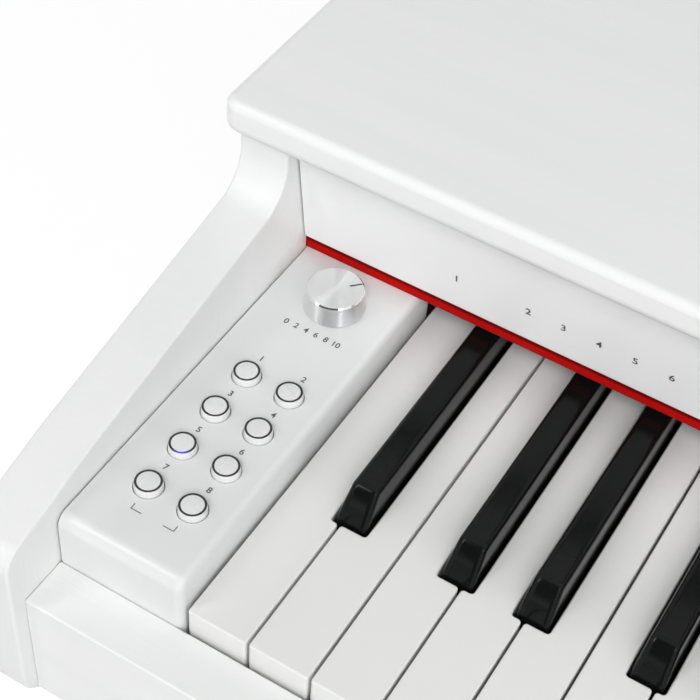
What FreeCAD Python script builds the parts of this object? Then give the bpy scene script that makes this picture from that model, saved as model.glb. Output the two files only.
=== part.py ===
import FreeCAD, Part
import os
import re

import Sketcher
from FreeCAD import Placement, Rotation, Vector

# Digital piano on its stand, in millimetres.
# X runs along the keys towards the treble, Y from the player to the back, Z up.
# The origin is on the floor, under the middle of the whole piano.

# Every size that can be set by itself.
SIZES = {
    # The case: two side boards, a top board and a bed, all tied to the keys.
    "overallDepth": 430, "keyTop": 740, "boardThick": 20,
    "lidThick": 15.2, "lidRise": 72.8, "lidOverhang": 5.5, "lidReach": 19.7,
    "lidTopRound": 6, "lidLowRound": 8.5,
    "armReach": 178, "armRise": 29.3, "armDrop": 70, "noseReach": 133, "noseDrop": 11.9,
    "shoulderReach": 15.3, "shoulderRise": 52.5, "legReach": 70,
    "shoulderRound": 16.4, "noseRound": 10, "heelRound": 18, "kneeRound": 60,
    "bedDrop": 40, "bedThick": 18, "slipDrop": 9.5, "slipReach": 172, "slipLap": 6,
    "upperBackThick": 8, "upperBackInset": 4, "lowerBackThick": 12, "lowerBackPlace": 188,
    "lowerBackFoot": 330,
    "fasciaFoot": 21.5, "fasciaSetback": 1.5, "fasciaLean": 8, "fasciaThick": 12,
    "feltDepth": 9, "footHigh": 45, "footWide": 32, "footRound": 14, "footEndGap": 3,
    "glideRadius": 11, "glideHigh": 4, "glideInset": 30,
    # The keys: seven white keys and five black ones to an octave.
    "whitePitch": 23.5, "whiteCount": 52, "octaveCount": 7, "leadKeys": 2,
    "keyGap": 1, "whiteLength": 151, "whiteHigh": 20, "keyWall": 2.5,
    "blackRise": 12.1, "blackFoot": 12, "blackTop": 10, "blackLength": 92.8,
    "blackSlope": 8.8, "blackDrop": 14, "blackShoulder": 1,
    "tailGap": 6.99, "notchGap": 1.2,
    "tailWide": 9, "tailHigh": 14, "tailSink": 1, "tailStart": 20, "tailEnd": 80,
    "pivotPlace": 63, "pivotSink": 8, "pivotRadius": 2, "pivotPlay": 0.05,
    # The frame that carries the keys.
    "frameDrop": 33, "frameThick": 3, "frameBack": 95, "frameFrontGap": 4, "flangeThick": 8,
    "rearWallThick": 7, "bracketThick": 2.5, "bracketStart": 25, "stopRailGap": 0.3,
    "stopRailHigh": 5, "stopRailWide": 12, "postWide": 6, "postLong": 14, "postInset": 16,
    "postClear": 14, "stopFeltHigh": 2.5, "stopFeltWide": 18, "stopFeltPlace": 118,
    "combThick": 0.6, "combLift": 1.2, "combFinger": 5, "combReach": 70,
    "contactPlace": 60, "contactWide": 40, "circuitThick": 1.6, "rubberWide": 28, "rubberHigh": 5,
    # The control blocks at the ends of the keys.
    "keyEndGap": 0.8, "blockWide": 49, "cheekGap": 0.53, "blockRise": 14.65, "blockWall": 2.5,
    "blockReach": 152.7, "blockFrontRound": 5, "blockKeyRound": 3, "blockCheekRound": 0.4,
    "buttonColumnOne": 32.6, "buttonColumnTwo": 14.85, "buttonRowOne": 66.8,
    "buttonRowPitch": 19.55,
    "buttonRadius": 5.15, "buttonPlay": 0.25, "buttonHigh": 2.8, "buttonFlange": 1.4,
    "buttonFlangeHigh": 1.2, "buttonSeat": 0.3, "buttonTravel": 1.5, "stemRadius": 1.5,
    "panelDrop": 14, "switchWide": 6, "switchHigh": 3.5, "plungerRadius": 1.75, "plungerHigh": 1,
    "panelFront": 142, "panelBack": 8, "panelInset": 5, "postRadius": 2.5,
    "knobColumn": 24.8, "knobRow": 20.4, "knobRadius": 11.5, "knobHigh": 9, "knobLift": 0.4,
    "knobChamfer": 0.8, "shaftRadius": 3, "shaftPlay": 0.05, "shaftBite": 6, "shaftHolePlay": 1,
    "encoderWide": 14, "encoderHigh": 8, "powerRow": 40, "powerRadius": 6,
    # The electronics behind the keys.
    "boardX": -110, "boardY": 145, "boardLong": 180, "boardWide": 80, "standoffHigh": 8,
    "standoffRadius": 3, "chipWide": 24, "chipHigh": 2.4, "chipPitch": 50,
    "speakerX": 430, "speakerY": 122, "speakerRadius": 60, "speakerHole": 52,
    "flangeHigh": 4, "basketHigh": 34, "magnetRadius": 34, "magnetHigh": 16, "coneWall": 2,
    "grilleThick": 2.5, "slotLong": 70, "slotWide": 3, "slotPitch": 8, "slotCount": 9,
    "portsX": -320, "portsWide": 150, "portsTall": 36, "portsRise": 40, "portsLap": 8,
    "portsThick": 2, "jackPitch": 24, "jackWide": 14, "jackDeep": 12, "jackRadius": 3.2,
    "jackCount": 5,
    # The pedals and the rail that holds them.
    "railFront": 40, "railThick": 18, "railHigh": 120, "pedalCentre": 70.5, "pedalThick": 9,
    "pedalPitch": 62, "leverWide": 12, "pedalWide": 28, "pedalTip": 130, "pedalNeck": 50,
    "pedalPivot": 80, "pedalBoss": 8, "pedalBossWide": 16, "pedalPin": 3,
    "pedalPlay": 0.05, "slotSide": 2.5, "slotAbove": 2, "slotBelow": 15, "pedalTipRound": 12,
    "boxWide": 216, "boxHigh": 62, "boxDeep": 118, "boxWall": 2, "boxLift": 6,
    "springLong": 12, "springRadius": 7, "springPlay": 0.3, "springGap": 2,
    "adjusterRadius": 14, "adjusterDisc": 8, "adjusterStem": 5,
    # The music rest on top.
    "restWide": 560, "restTall": 170, "restThick": 8, "restAxis": 7, "restPlace": 30,
    "restRun": 0.34202, "restRise": 0.93969, "ledgeDeep": 26, "ledgeThick": 6, "ledgeUp": 3,
    "hingePitch": 400, "hingeLong": 40, "hingePin": 2, "hingePlay": 0.05, "knuckleRadius": 4.5,
    "knuckleGap": 0.3, "leafDeep": 22, "leafThick": 2,
    "propAlong": 60, "propAway": 4, "propFoot": 75, "propWide": 60, "propThick": 3,
    "propPin": 1.5, "propGap": 0.3, "lugThick": 4, "lugRadius": 3.5,
    # Fasteners.
    "angleLeg": 40, "angleThick": 3, "angleWide": 30, "anglePlace": 110, "screwRadius": 2,
    "screwHead": 4, "screwHeadHigh": 2.5, "screwLong": 12, "screwHolePlay": 0.3,
    "backScrewPitch": 200,
}

# Places that follow from the sizes.
PLACES = {
    "feltFront": "armReach - overallDepth / 2",
    "backFace": "overallDepth / 2",
    "armFront": "-overallDepth / 2",
    "keysHalf": "whiteCount * whitePitch / 2",
    "octave": "7 * whitePitch",
    "firstC": "leadKeys * whitePitch - keysHalf",
    "pairSplay": "whitePitch / 10",
    "threeSplay": "whitePitch / 7",
    "cSharpAt": "whitePitch - pairSplay",
    "dSharpAt": "2 * whitePitch + pairSplay",
    "fSharpAt": "4 * whitePitch - threeSplay",
    "gSharpAt": "5 * whitePitch",
    "aSharpAt": "6 * whitePitch + threeSplay",
    "tailPitch": "octave / 12",
    "tailFirst": "firstC - 2.5 * tailPitch",
    "innerHalf": "keysHalf + keyEndGap + blockWide + cheekGap",
    "outerHalf": "innerHalf + boardThick",
    "lidHalf": "outerHalf + lidOverhang",
    "lidLow": "keyTop + lidRise",
    "lidTop": "lidLow + lidThick",
    "noseTop": "keyTop + armRise - noseDrop",
    "armBottom": "keyTop - armDrop",
    "bedTop": "keyTop - bedDrop",
    "bedLow": "bedTop - bedThick",
    "slipBack": "feltFront - blockReach",
    "backInner": "backFace - upperBackInset - upperBackThick",
    "blockTop": "keyTop + blockRise",
    "blockUnder": "blockTop - blockWall",
    "frameTop": "keyTop - frameDrop",
    "frameLow": "frameTop - frameThick",
    "pivotY": "feltFront + pivotPlace",
    "pivotZ": "keyTop - pivotSink",
    "tailTop": "keyTop - tailSink",
    "tailLow": "tailTop - tailHigh",
    "stopRail": "tailTop + stopRailGap",
    "combZ": "tailTop + combLift",
    "whiteFront": "feltFront - whiteLength",
    "blackFront": "feltFront - blackLength",
    "notchFront": "blackFront - notchGap",
    "panelTop": "blockTop - panelDrop + circuitThick",
    "switchTop": "panelTop + switchHigh + plungerHigh",
    "stemLow": "switchTop + buttonTravel + buttonSeat",
    "buttonLow": "blockUnder - buttonSeat - buttonFlangeHigh",
    "leftEdge": "-keysHalf - keyEndGap - blockWide",
    "knobX": "-keysHalf - knobColumn",
    "knobY": "feltFront - knobRow",
    "encoderTop": "panelTop + encoderHigh",
    "knobLow": "blockTop + knobLift",
    "powerX": "keysHalf + keyEndGap + blockWide / 2",
    "powerY": "feltFront - powerRow",
    "footTop": "footHigh",
    "boardCentre": "innerHalf + boardThick / 2",
    "railBack": "railThick - railFront",
    "railTop": "footHigh + railHigh",
    "pedalLow": "pedalCentre - pedalThick / 2",
    "pedalHigh": "pedalCentre + pedalThick / 2",
    "hingeZ": "lidTop + restAxis",
    "boxLow": "footHigh + boxLift",
}

doc = FreeCAD.newDocument("DigitalPiano")
sheet = doc.addObject("Spreadsheet::Sheet", "Sizes")
for row, (alias, number) in enumerate(SIZES.items(), 1):
    sheet.set(f"A{row}", alias)
    sheet.set(f"B{row}", str(number))
    sheet.setAlias(f"B{row}", alias)
doc.recompute()

nodes = []


def formula(text):
    """Write a formula of plain names the way the document follows it."""
    def word(match):
        if match[0] in PLACES:
            return f"({formula(PLACES[match[0]])})"
        return f"Sizes.{match[0]}"
    return re.sub(r"[A-Za-z]\w*", word, str(text))


def value(text):
    """The number that a formula comes to."""
    return float(sheet.evalExpression(formula(text)))


def bind(thing, prop, text):
    """Tie one property of an object to the sheet."""
    thing.setExpression(prop, formula(text))


def place(thing, x=0, y=0, z=0):
    """Tie an object's position to the sheet."""
    for axis, text in zip("xyz", (x, y, z)):
        bind(thing, f"Placement.Base.{axis}", text)
    return thing


def node(label, thing):
    """Name a finished sub-part and put it on the list of files to write."""
    thing.Label = label
    nodes.append((label, thing))
    return thing


# Part primitives.

def block(x, y, z):
    """A box between two places along each axis."""
    box = doc.addObject("Part::Box", "Block")
    for prop, (low, high) in zip(("Length", "Width", "Height"), (x, y, z)):
        bind(box, prop, f"({high}) - ({low})")
    return place(box, x[0], y[0], z[0])


AXES = {"X": Rotation(Vector(0, 1, 0), 90), "Y": Rotation(Vector(1, 0, 0), -90), "Z": Rotation()}


def cylinder(radius, length, at, axis="Z"):
    """A round bar that starts at a point and runs along an axis."""
    bar = doc.addObject("Part::Cylinder", "Bar")
    bind(bar, "Radius", radius)
    bind(bar, "Height", length)
    bar.Placement = Placement(Vector(), AXES[axis])
    return place(bar, *at)


def group(members):
    """Separate solids that share one node."""
    bundle = doc.addObject("Part::Compound", "Group")
    bundle.Links = members
    return bundle


def fuse(members):
    """Several shapes made into one piece."""
    union = doc.addObject("Part::MultiFuse", "Fuse")
    union.Shapes = members
    union.Refine = True
    return union


def cut(base, tool):
    """One shape with another taken out of it."""
    rest = doc.addObject("Part::Cut", "Cut")
    rest.Base = base
    rest.Tool = tool
    return rest


# PartDesign bodies. A plane's sign says which way its normal points along its axis.

PLANES = {"XY_Plane": 1, "YZ_Plane": 1, "XZ_Plane": -1}


def new_body():
    """An empty body that may hold several solids."""
    body = doc.addObject("PartDesign::Body", "Body")
    body.AllowCompound = True
    return body


def origin_feature(body, role):
    """One of a body's own origin planes or axes."""
    return next(item for item in body.Origin.OriginFeatures if item.Role == role)


def drawing_on(body, plane, level):
    """An empty sketch on one of the body's planes, moved to a level along its axis."""
    drawing = body.newObject("Sketcher::SketchObject", "Outline")
    drawing.AttachmentSupport = [(origin_feature(body, plane), "")]
    drawing.MapMode = "FlatFace"
    bind(drawing, "AttachmentOffset.Base.z", level if PLANES[plane] > 0 else f"-({level})")
    return drawing


def fix(drawing, kind, geometry, point, text):
    """Hold a point of the sketch at a bound distance from the sketch's origin."""
    index = drawing.addConstraint(Sketcher.Constraint(kind, -1, 1, geometry, point, value(text)))
    drawing.setExpression(f"Constraints[{index}]", formula(text))


def add_outline(drawing, corners):
    """A closed run of straight lines through the corners."""
    first = drawing.GeometryCount
    points = [Vector(value(across), value(up), 0) for across, up in corners]
    for start, end in zip(points, points[1:] + points[:1]):
        drawing.addGeometry(Part.LineSegment(start, end), False)
    for step, (across, up) in enumerate(corners):
        line = first + step
        following = first + (step + 1) % len(corners)
        drawing.addConstraint(Sketcher.Constraint("Coincident", line, 2, following, 1))
        fix(drawing, "DistanceX", line, 1, across)
        fix(drawing, "DistanceY", line, 1, up)


def add_circle(drawing, across, up, radius):
    """A circle with a bound centre and radius."""
    centre = Vector(value(across), value(up), 0)
    circle = drawing.addGeometry(Part.Circle(centre, Vector(0, 0, 1), value(radius)), False)
    fix(drawing, "DistanceX", circle, 3, across)
    fix(drawing, "DistanceY", circle, 3, up)
    index = drawing.addConstraint(Sketcher.Constraint("Radius", circle, value(radius)))
    drawing.setExpression(f"Constraints[{index}]", formula(radius))


def feature(body, kind, plane, span, outlines, circles):
    """A pad or a pocket that fills the span between two levels."""
    low, high = span
    from_low = (kind == "Pad") == (PLANES[plane] > 0)
    drawing = drawing_on(body, plane, low if from_low else high)
    for corners in outlines:
        add_outline(drawing, corners)
    for circle in circles:
        add_circle(drawing, *circle)
    result = body.newObject(f"PartDesign::{kind}", kind)
    result.Profile = drawing
    bind(result, "Length", f"({high}) - ({low})")
    return result


def pad(body, plane, span, outlines=(), circles=()):
    """Material between two levels."""
    return feature(body, "Pad", plane, span, outlines, circles)


def pocket(body, plane, span, outlines=(), circles=()):
    """Material taken away between two levels."""
    return feature(body, "Pocket", plane, span, outlines, circles)


def rectangle(across, up):
    """The four corners between two places each way."""
    return [(across[0], up[0]), (across[1], up[0]), (across[1], up[1]), (across[0], up[1])]


def repeat(body, role, spacing, count, originals=()):
    """Copy features, or the whole body when none are named, along an axis."""
    pattern = body.newObject("PartDesign::LinearPattern", "Row")
    if originals:
        pattern.Originals = list(originals)
    else:
        pattern.TransformMode = "Whole shape"
    pattern.Direction = (origin_feature(body, role), [""])
    bind(pattern, "Length", f"({spacing}) * (({count}) - 1)")
    bind(pattern, "Occurrences", count)
    body.Tip = pattern
    return pattern


def lies_along_x(y, z):
    """Pick the straight edges along X through one point of the profile."""
    def wanted(edge):
        points = [vertex.Point for vertex in edge.Vertexes]
        near = all(abs(p.y - value(y)) < 0.01 and abs(p.z - value(z)) < 0.01 for p in points)
        return len(points) == 2 and near and abs(points[0].x - points[1].x) > 0.1
    return wanted


def lies_along_y(x, z):
    """Pick the straight edges along Y through one point of the profile."""
    def wanted(edge):
        points = [vertex.Point for vertex in edge.Vertexes]
        near = all(abs(p.x - value(x)) < 0.01 and abs(p.z - value(z)) < 0.01 for p in points)
        return len(points) == 2 and near and abs(points[0].y - points[1].y) > 0.1
    return wanted


def lies_along_z(x, y):
    """Pick the straight edges along Z through one point of the plan."""
    def wanted(edge):
        points = [vertex.Point for vertex in edge.Vertexes]
        near = all(abs(p.x - value(x)) < 0.01 and abs(p.y - value(y)) < 0.01 for p in points)
        return len(points) == 2 and near and abs(points[0].z - points[1].z) > 0.1
    return wanted


def round_edges(body, radius, *picks):
    """Fillet the edges that the picks choose on the body as it stands."""
    doc.recompute()
    base = body.Tip
    names = [f"Edge{number}" for number, edge in enumerate(base.Shape.Edges, 1)
             if any(wanted(edge) for wanted in picks)]
    if not names:
        raise ValueError(f"no edge to round on {body.Label}")
    fillet = body.newObject("PartDesign::Fillet", "Round")
    fillet.Base = (base, names)
    bind(fillet, "Radius", radius)
    return fillet


def turned(outline, at=("0", "0", "0")):
    """A body of revolution about its own upright axis; corners are radius and height."""
    body = new_body()
    drawing = drawing_on(body, "XZ_Plane", "0")
    add_outline(drawing, outline)
    spin = body.newObject("PartDesign::Revolution", "Spin")
    spin.Profile = drawing
    spin.ReferenceAxis = (drawing, ["V_Axis"])
    spin.Angle = 360
    return place(body, *at)


# The case.

def side_board(label, inner, outer):
    """A side board: cheek, sloping arm and leg in one, cut to a rounded profile."""
    body = new_body()
    pad(body, "YZ_Plane", (inner, outer), [[
        ("backFace", "footTop"), ("backFace", "lidLow"),
        ("feltFront - shoulderReach", "lidLow"),
        ("feltFront - shoulderReach", "keyTop + shoulderRise"),
        ("feltFront - noseReach", "keyTop + armRise"), ("armFront", "noseTop"),
        ("armFront", "armBottom"), ("-legReach", "armBottom"), ("-legReach", "footTop")]])
    round_edges(body, "shoulderRound",
                lies_along_x("feltFront - shoulderReach", "keyTop + shoulderRise"))
    round_edges(body, "noseRound", lies_along_x("armFront", "noseTop"))
    round_edges(body, "heelRound", lies_along_x("armFront", "armBottom"))
    round_edges(body, "kneeRound", lies_along_x("-legReach", "armBottom"))
    return node(label, body)


def top_board():
    """The top board, whose rounded front edge stands over the keys."""
    body = new_body()
    front = "feltFront - lidReach"
    pad(body, "YZ_Plane", ("-lidHalf", "lidHalf"),
        [rectangle((front, "backFace"), ("lidLow", "lidTop"))])
    round_edges(body, "lidTopRound", lies_along_x(front, "lidTop"))
    round_edges(body, "lidLowRound", lies_along_x(front, "lidLow"))
    return node("top_board", body)


def fascia_panel():
    """The panel behind the keys, leaning out towards the player at its top."""
    body = new_body()
    foot = "feltFront - fasciaSetback"
    pad(body, "YZ_Plane", ("-innerHalf", "innerHalf"), [[
        (foot, "keyTop + fasciaFoot"), (f"{foot} + fasciaThick", "keyTop + fasciaFoot"),
        (f"{foot} + fasciaThick - fasciaLean", "lidLow"), (f"{foot} - fasciaLean", "lidLow")]])
    return node("fascia_panel", body)


def key_bed():
    """The bed board under the keys, with a round hole over each speaker."""
    body = new_body()
    pad(body, "XY_Plane", ("bedLow", "bedTop"),
        [rectangle(("-innerHalf", "innerHalf"), ("slipBack", "backInner"))])
    pocket(body, "XY_Plane", ("bedLow", "bedTop"),
           circles=[(f"{side}speakerX", "speakerY", "speakerHole") for side in ("-", "")])
    return node("key_bed", body)


def upper_back_panel():
    """The thin board that closes the case behind the keys, cut out for the sockets."""
    body = new_body()
    pad(body, "XZ_Plane", ("backInner", "backInner + upperBackThick"),
        [rectangle(("-innerHalf", "innerHalf"), ("bedLow", "lidLow"))])
    pocket(body, "XZ_Plane", ("backInner", "backInner + upperBackThick"), [rectangle(
        ("portsX - portsWide / 2 + portsLap", "portsX + portsWide / 2 - portsLap"),
        ("bedTop + portsRise", "bedTop + portsRise + portsTall"))])
    return node("upper_back_panel", body)


def feet():
    """A plain wooden foot under each side board, with rounded upper ends."""
    members = []
    end = "backFace - footEndGap"
    for centre in ("-boardCentre", "boardCentre"):
        body = new_body()
        pad(body, "YZ_Plane", (f"{centre} - footWide / 2", f"{centre} + footWide / 2"),
            [rectangle((f"-({end})", end), ("glideHigh", "footTop"))])
        round_edges(body, "footRound",
                    lies_along_x(f"-({end})", "footTop"), lies_along_x(end, "footTop"))
        members.append(body)
    return node("feet", group(members))


def floor_glides():
    """A round glide under each end of each foot."""
    return node("floor_glides", group([
        cylinder("glideRadius", "glideHigh", (centre, f"{end}(backFace - glideInset)", "0"))
        for centre in ("-boardCentre", "boardCentre") for end in ("-", "")]))


def case():
    """Everything that makes up the case and stands on the floor."""
    side_board("left_side_panel", "-outerHalf", "-innerHalf")
    side_board("right_side_panel", "innerHalf", "outerHalf")
    top_board()
    fascia_panel()
    node("felt_strip", block(("-innerHalf", "innerHalf"), ("feltFront", "feltFront + feltDepth"),
                             ("blockTop", "keyTop + fasciaFoot")))
    key_bed()
    node("key_slip", block(("-innerHalf", "innerHalf"), ("feltFront - slipReach", "slipBack"),
                           ("bedLow - slipLap", "keyTop - slipDrop")))
    upper_back_panel()
    node("lower_back_panel",
         block(("-innerHalf", "innerHalf"), ("lowerBackPlace", "lowerBackPlace + lowerBackThick"),
               ("lowerBackFoot", "bedLow")))
    feet()
    floor_glides()


# The keys.

def white_key(left, tail, low_tail, high_tail, count):
    """White keys an octave apart: a hollow head and tail over a solid pivot block."""
    body = new_body()
    start = f"{left} + keyGap / 2"
    end = f"{left} + whitePitch - keyGap / 2"
    back = "feltFront + tailStart"
    tail_low = f"{left} + {low_tail}" if low_tail else start
    tail_high = f"{left} + {high_tail}" if high_tail else end
    plan = [(start, "whiteFront"), (end, "whiteFront")]
    plan += [(end, "notchFront"), (tail_high, "notchFront")] if high_tail else []
    plan += [(tail_high, back), (tail_low, back)]
    plan += [(tail_low, "notchFront"), (start, "notchFront")] if low_tail else []
    pad(body, "XY_Plane", ("keyTop - whiteHigh", "keyTop"), [plan])
    pocket(body, "XY_Plane", ("keyTop - whiteHigh", "keyTop - keyWall"), [
        rectangle((f"{start} + keyWall", f"{end} - keyWall"),
                  ("whiteFront + keyWall", "notchFront - keyWall"))])
    pocket(body, "XY_Plane", ("keyTop - whiteHigh", "keyTop - keyWall"), [
        rectangle((f"{tail_low} + keyWall", f"{tail_high} - keyWall"),
                  ("notchFront", f"{back} - keyWall"))])
    add_tail(body, tail, back)
    if count != "1":
        repeat(body, "X_Axis", "octave", count)
    return body


def add_tail(body, tail, back):
    """The narrow rear of a key, bored for the pivot rod."""
    sides = (f"{tail} - tailWide / 2", f"{tail} + tailWide / 2")
    pad(body, "XY_Plane", ("tailLow", "tailTop"),
        [rectangle(sides, (f"{back} - keyWall", "feltFront + tailEnd"))])
    pocket(body, "YZ_Plane", sides, circles=[("pivotY", "pivotZ", "pivotRadius + pivotPlay")])


def black_key(centre, tail, first, count):
    """Black keys an octave apart: tapered sides and a sloping front."""
    body = new_body()
    middle = f"firstC + {first} * octave + {centre}"
    back = "feltFront + feltDepth + keyWall"
    section = [("-blackFoot / 2", "keyTop - blackDrop"), ("blackFoot / 2", "keyTop - blackDrop"),
               ("blackFoot / 2", "keyTop + blackShoulder"), ("blackTop / 2", "keyTop + blackRise"),
               ("-blackTop / 2", "keyTop + blackRise"),
               ("-blackFoot / 2", "keyTop + blackShoulder")]
    pad(body, "XZ_Plane", ("blackFront", back),
        [[(f"{middle} + ({across})", up) for across, up in section]])
    crest = "keyTop + blackRise"
    pocket(body, "YZ_Plane", (f"{middle} - blackFoot", f"{middle} + blackFoot"), [[
        ("blackFront - 1", "keyTop + blackShoulder"), ("blackFront", "keyTop + blackShoulder"),
        ("blackFront + blackSlope", crest), ("blackFront + blackSlope", f"{crest} + 1"),
        ("blackFront - 1", f"{crest} + 1")]])
    add_tail(body, tail_place(tail, first), back)
    repeat(body, "X_Axis", "octave", count)
    return body


def tail_place(semitone, first):
    """The middle of a key's rear end: the tails are evenly spaced in each octave."""
    return f"firstC + {first} * octave + ({semitone} + 0.5) * tailPitch"


# White keys: name, whites from C, semitones from C, black key on each side, first octave.
WHITE_KEYS = [
    ("keys_C", 0, 0, None, "cSharpAt", 0), ("keys_D", 1, 2, "cSharpAt", "dSharpAt", 0),
    ("keys_E", 2, 4, "dSharpAt", None, 0), ("keys_F", 3, 5, None, "fSharpAt", 0),
    ("keys_G", 4, 7, "fSharpAt", "gSharpAt", 0), ("keys_A", 5, 9, "gSharpAt", "aSharpAt", 0),
    ("keys_B", 6, 11, "aSharpAt", None, -1)]
BLACK_KEYS = [
    ("keys_C_sharp", "cSharpAt", 1, 0), ("keys_D_sharp", "dSharpAt", 3, 0),
    ("keys_F_sharp", "fSharpAt", 6, 0), ("keys_G_sharp", "gSharpAt", 8, 0),
    ("keys_A_sharp", "aSharpAt", 10, -1)]


def keys():
    """Eighty-eight keys, one node for each note of the scale."""
    for label, step, semitone, below, above, first in WHITE_KEYS:
        left = f"firstC + {first} * octave + {step} * whitePitch"
        low_tail = f"{below} + tailGap - {step} * whitePitch" if below else None
        high_tail = f"{above} - tailGap - {step} * whitePitch" if above else None
        tail = tail_place(semitone, first)
        row = white_key(left, tail, low_tail, high_tail, f"octaveCount - ({first})")
        extra = []
        if label == "keys_A":
            left = "firstC - 2 * whitePitch"
            extra = [white_key(left, tail_place(semitone, -1), None, high_tail, "1")]
        if label == "keys_C":
            left = "firstC + octaveCount * octave"
            extra = [white_key(left, tail_place(semitone, "octaveCount"), None, None, "1")]
        node(label, group([row] + extra) if extra else row)
    for label, centre, semitone, first in BLACK_KEYS:
        node(label, black_key(centre, semitone, first, f"octaveCount - ({first})"))


def key_frame():
    """The moulded frame: plate, flanges, guide posts, pivot brackets and stop rail."""
    body = new_body()
    front = "whiteFront + frameFrontGap"
    back = "feltFront + frameBack"
    ends = ("-keysHalf", "keysHalf")
    pad(body, "XY_Plane", ("frameLow", "frameTop"), [rectangle(ends, (front, back))])
    pad(body, "XY_Plane", ("bedTop", "frameLow"),
        [rectangle(ends, (front, f"{front} + flangeThick")),
         rectangle(ends, (f"{back} - flangeThick", back))])
    pad(body, "XY_Plane", ("frameTop", "combZ"),
        [rectangle(ends, (f"{back} - rearWallThick", back))])
    post = pad(body, "XY_Plane", ("frameTop", "keyTop - postClear"), [rectangle(
        ("(whitePitch - postWide) / 2 - keysHalf", "(whitePitch + postWide) / 2 - keysHalf"),
        ("whiteFront + postInset", "whiteFront + postInset + postLong"))])
    repeat(body, "X_Axis", "whitePitch", "whiteCount", [post])
    side = [rectangle(("feltFront + bracketStart", f"{back} - rearWallThick"),
                      ("frameTop", "stopRail + stopRailHigh"))]
    first = pad(body, "YZ_Plane", ("firstC - bracketThick / 2", "firstC + bracketThick / 2"), side)
    repeat(body, "X_Axis", "octave", "octaveCount + 1", [first])
    low_end = "tailFirst - tailPitch / 2"
    high_end = "firstC + (12 * octaveCount + 1) * tailPitch"
    for edge in (low_end, high_end):
        pad(body, "YZ_Plane", (f"{edge} - bracketThick / 2", f"{edge} + bracketThick / 2"), side)
    pad(body, "XY_Plane", ("stopRail", "stopRail + stopRailHigh"), [rectangle(
        (low_end, high_end),
        ("feltFront + bracketStart", "feltFront + bracketStart + stopRailWide"))])
    pocket(body, "YZ_Plane", (f"{low_end} - bracketThick", f"{high_end} + bracketThick"),
           circles=[("pivotY", "pivotZ", "pivotRadius")])
    return node("key_frame", body)


def key_spring_comb():
    """A steel comb on the frame's rear wall with one sprung finger over each key's tail."""
    body = new_body()
    back = "feltFront + frameBack"
    ends = ("tailFirst - tailPitch / 2", "firstC + (12 * octaveCount + 1) * tailPitch")
    pad(body, "XY_Plane", ("combZ", "combZ + combThick"),
        [rectangle(ends, (f"{back} - rearWallThick", back))])
    finger = pad(body, "XY_Plane", ("combZ", "combZ + combThick"), [rectangle(
        ("tailFirst - combFinger / 2", "tailFirst + combFinger / 2"),
        ("feltFront + combReach", f"{back} - rearWallThick"))])
    repeat(body, "X_Axis", "tailPitch", "12 * octaveCount + 4", [finger])
    return node("key_spring_comb", body)


def keyboard():
    """The frame, its rod, springs and felts, and the contacts under the keys."""
    key_frame()
    low_end = "tailFirst - tailPitch / 2 - bracketThick / 2"
    node("key_pivot_rod", cylinder(
        "pivotRadius", f"firstC + (12 * octaveCount + 1) * tailPitch + bracketThick / 2 - ({low_end})",
        (low_end, "pivotY", "pivotZ"), "X"))
    key_spring_comb()
    ends = ("-keysHalf", "keysHalf")
    contact = "feltFront - contactPlace"
    node("key_contact_board", block(ends, (contact, f"{contact} + contactWide"),
                                    ("frameTop", "frameTop + circuitThick")))
    middle = f"{contact} + contactWide / 2"
    node("key_contact_rubber", block(
        ends, (f"{middle} - rubberWide / 2", f"{middle} + rubberWide / 2"),
        ("frameTop + circuitThick", "frameTop + circuitThick + rubberHigh")))
    node("key_stop_felt", block(
        ends, ("feltFront - stopFeltPlace", "feltFront - stopFeltPlace + stopFeltWide"),
        ("frameTop", "frameTop + stopFeltHigh")))
    keys()


# The control blocks.

def button_places():
    """Two columns and four rows of buttons, numbered along each row from the back."""
    for row in range(4):
        for column in ("buttonColumnOne", "buttonColumnTwo"):
            yield f"-keysHalf - {column}", f"feltFront - buttonRowOne - {row} * buttonRowPitch"


def control_block(label, cheek, key, holes, posts):
    """A moulded shell on the bed, rounded over its front and its key edge."""
    body = new_body()
    ends = sorted((cheek, key), key=value)
    front = "feltFront - blockReach"
    back = "feltFront + feltDepth"
    pad(body, "XY_Plane", ("bedTop", "blockTop"), [rectangle(ends, (front, back))])
    round_edges(body, "blockFrontRound", lies_along_x(front, "blockTop"))
    round_edges(body, "blockKeyRound", lies_along_y(key, "blockTop"))
    round_edges(body, "blockCheekRound", lies_along_y(cheek, "blockTop"))
    pocket(body, "XY_Plane", ("bedTop", "blockUnder"), [rectangle(
        (f"{ends[0]} + blockWall", f"{ends[1]} - blockWall"),
        (f"{front} + blockWall", f"{back} - blockWall"))])
    pocket(body, "XY_Plane", ("blockUnder", "blockTop"), circles=holes)
    pad(body, "XY_Plane", ("panelTop", "blockUnder"),
        circles=[(x, y, "postRadius") for x, y in posts])
    return node(label, body)


def push_button(label, radius, x, y):
    """A button: cap through the panel, flange under it and stem to the switch."""
    return node(label, turned([
        ("0", "stemLow"), ("stemRadius", "stemLow"), ("stemRadius", "buttonLow"),
        (f"{radius} + buttonFlange", "buttonLow"),
        (f"{radius} + buttonFlange", "buttonLow + buttonFlangeHigh"),
        (radius, "buttonLow + buttonFlangeHigh"), (radius, "blockTop + buttonHigh"),
        ("0", "blockTop + buttonHigh")], (x, y, "0")))


def switch_at(x, y):
    """A small press switch with a round plunger, standing on its board."""
    half = "switchWide / 2"
    return fuse([
        block((f"{x} - {half}", f"{x} + {half}"), (f"{y} - {half}", f"{y} + {half}"),
              ("panelTop", "panelTop + switchHigh")),
        cylinder("plungerRadius", "switchHigh + plungerHigh", (x, y, "panelTop"))])


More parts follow.
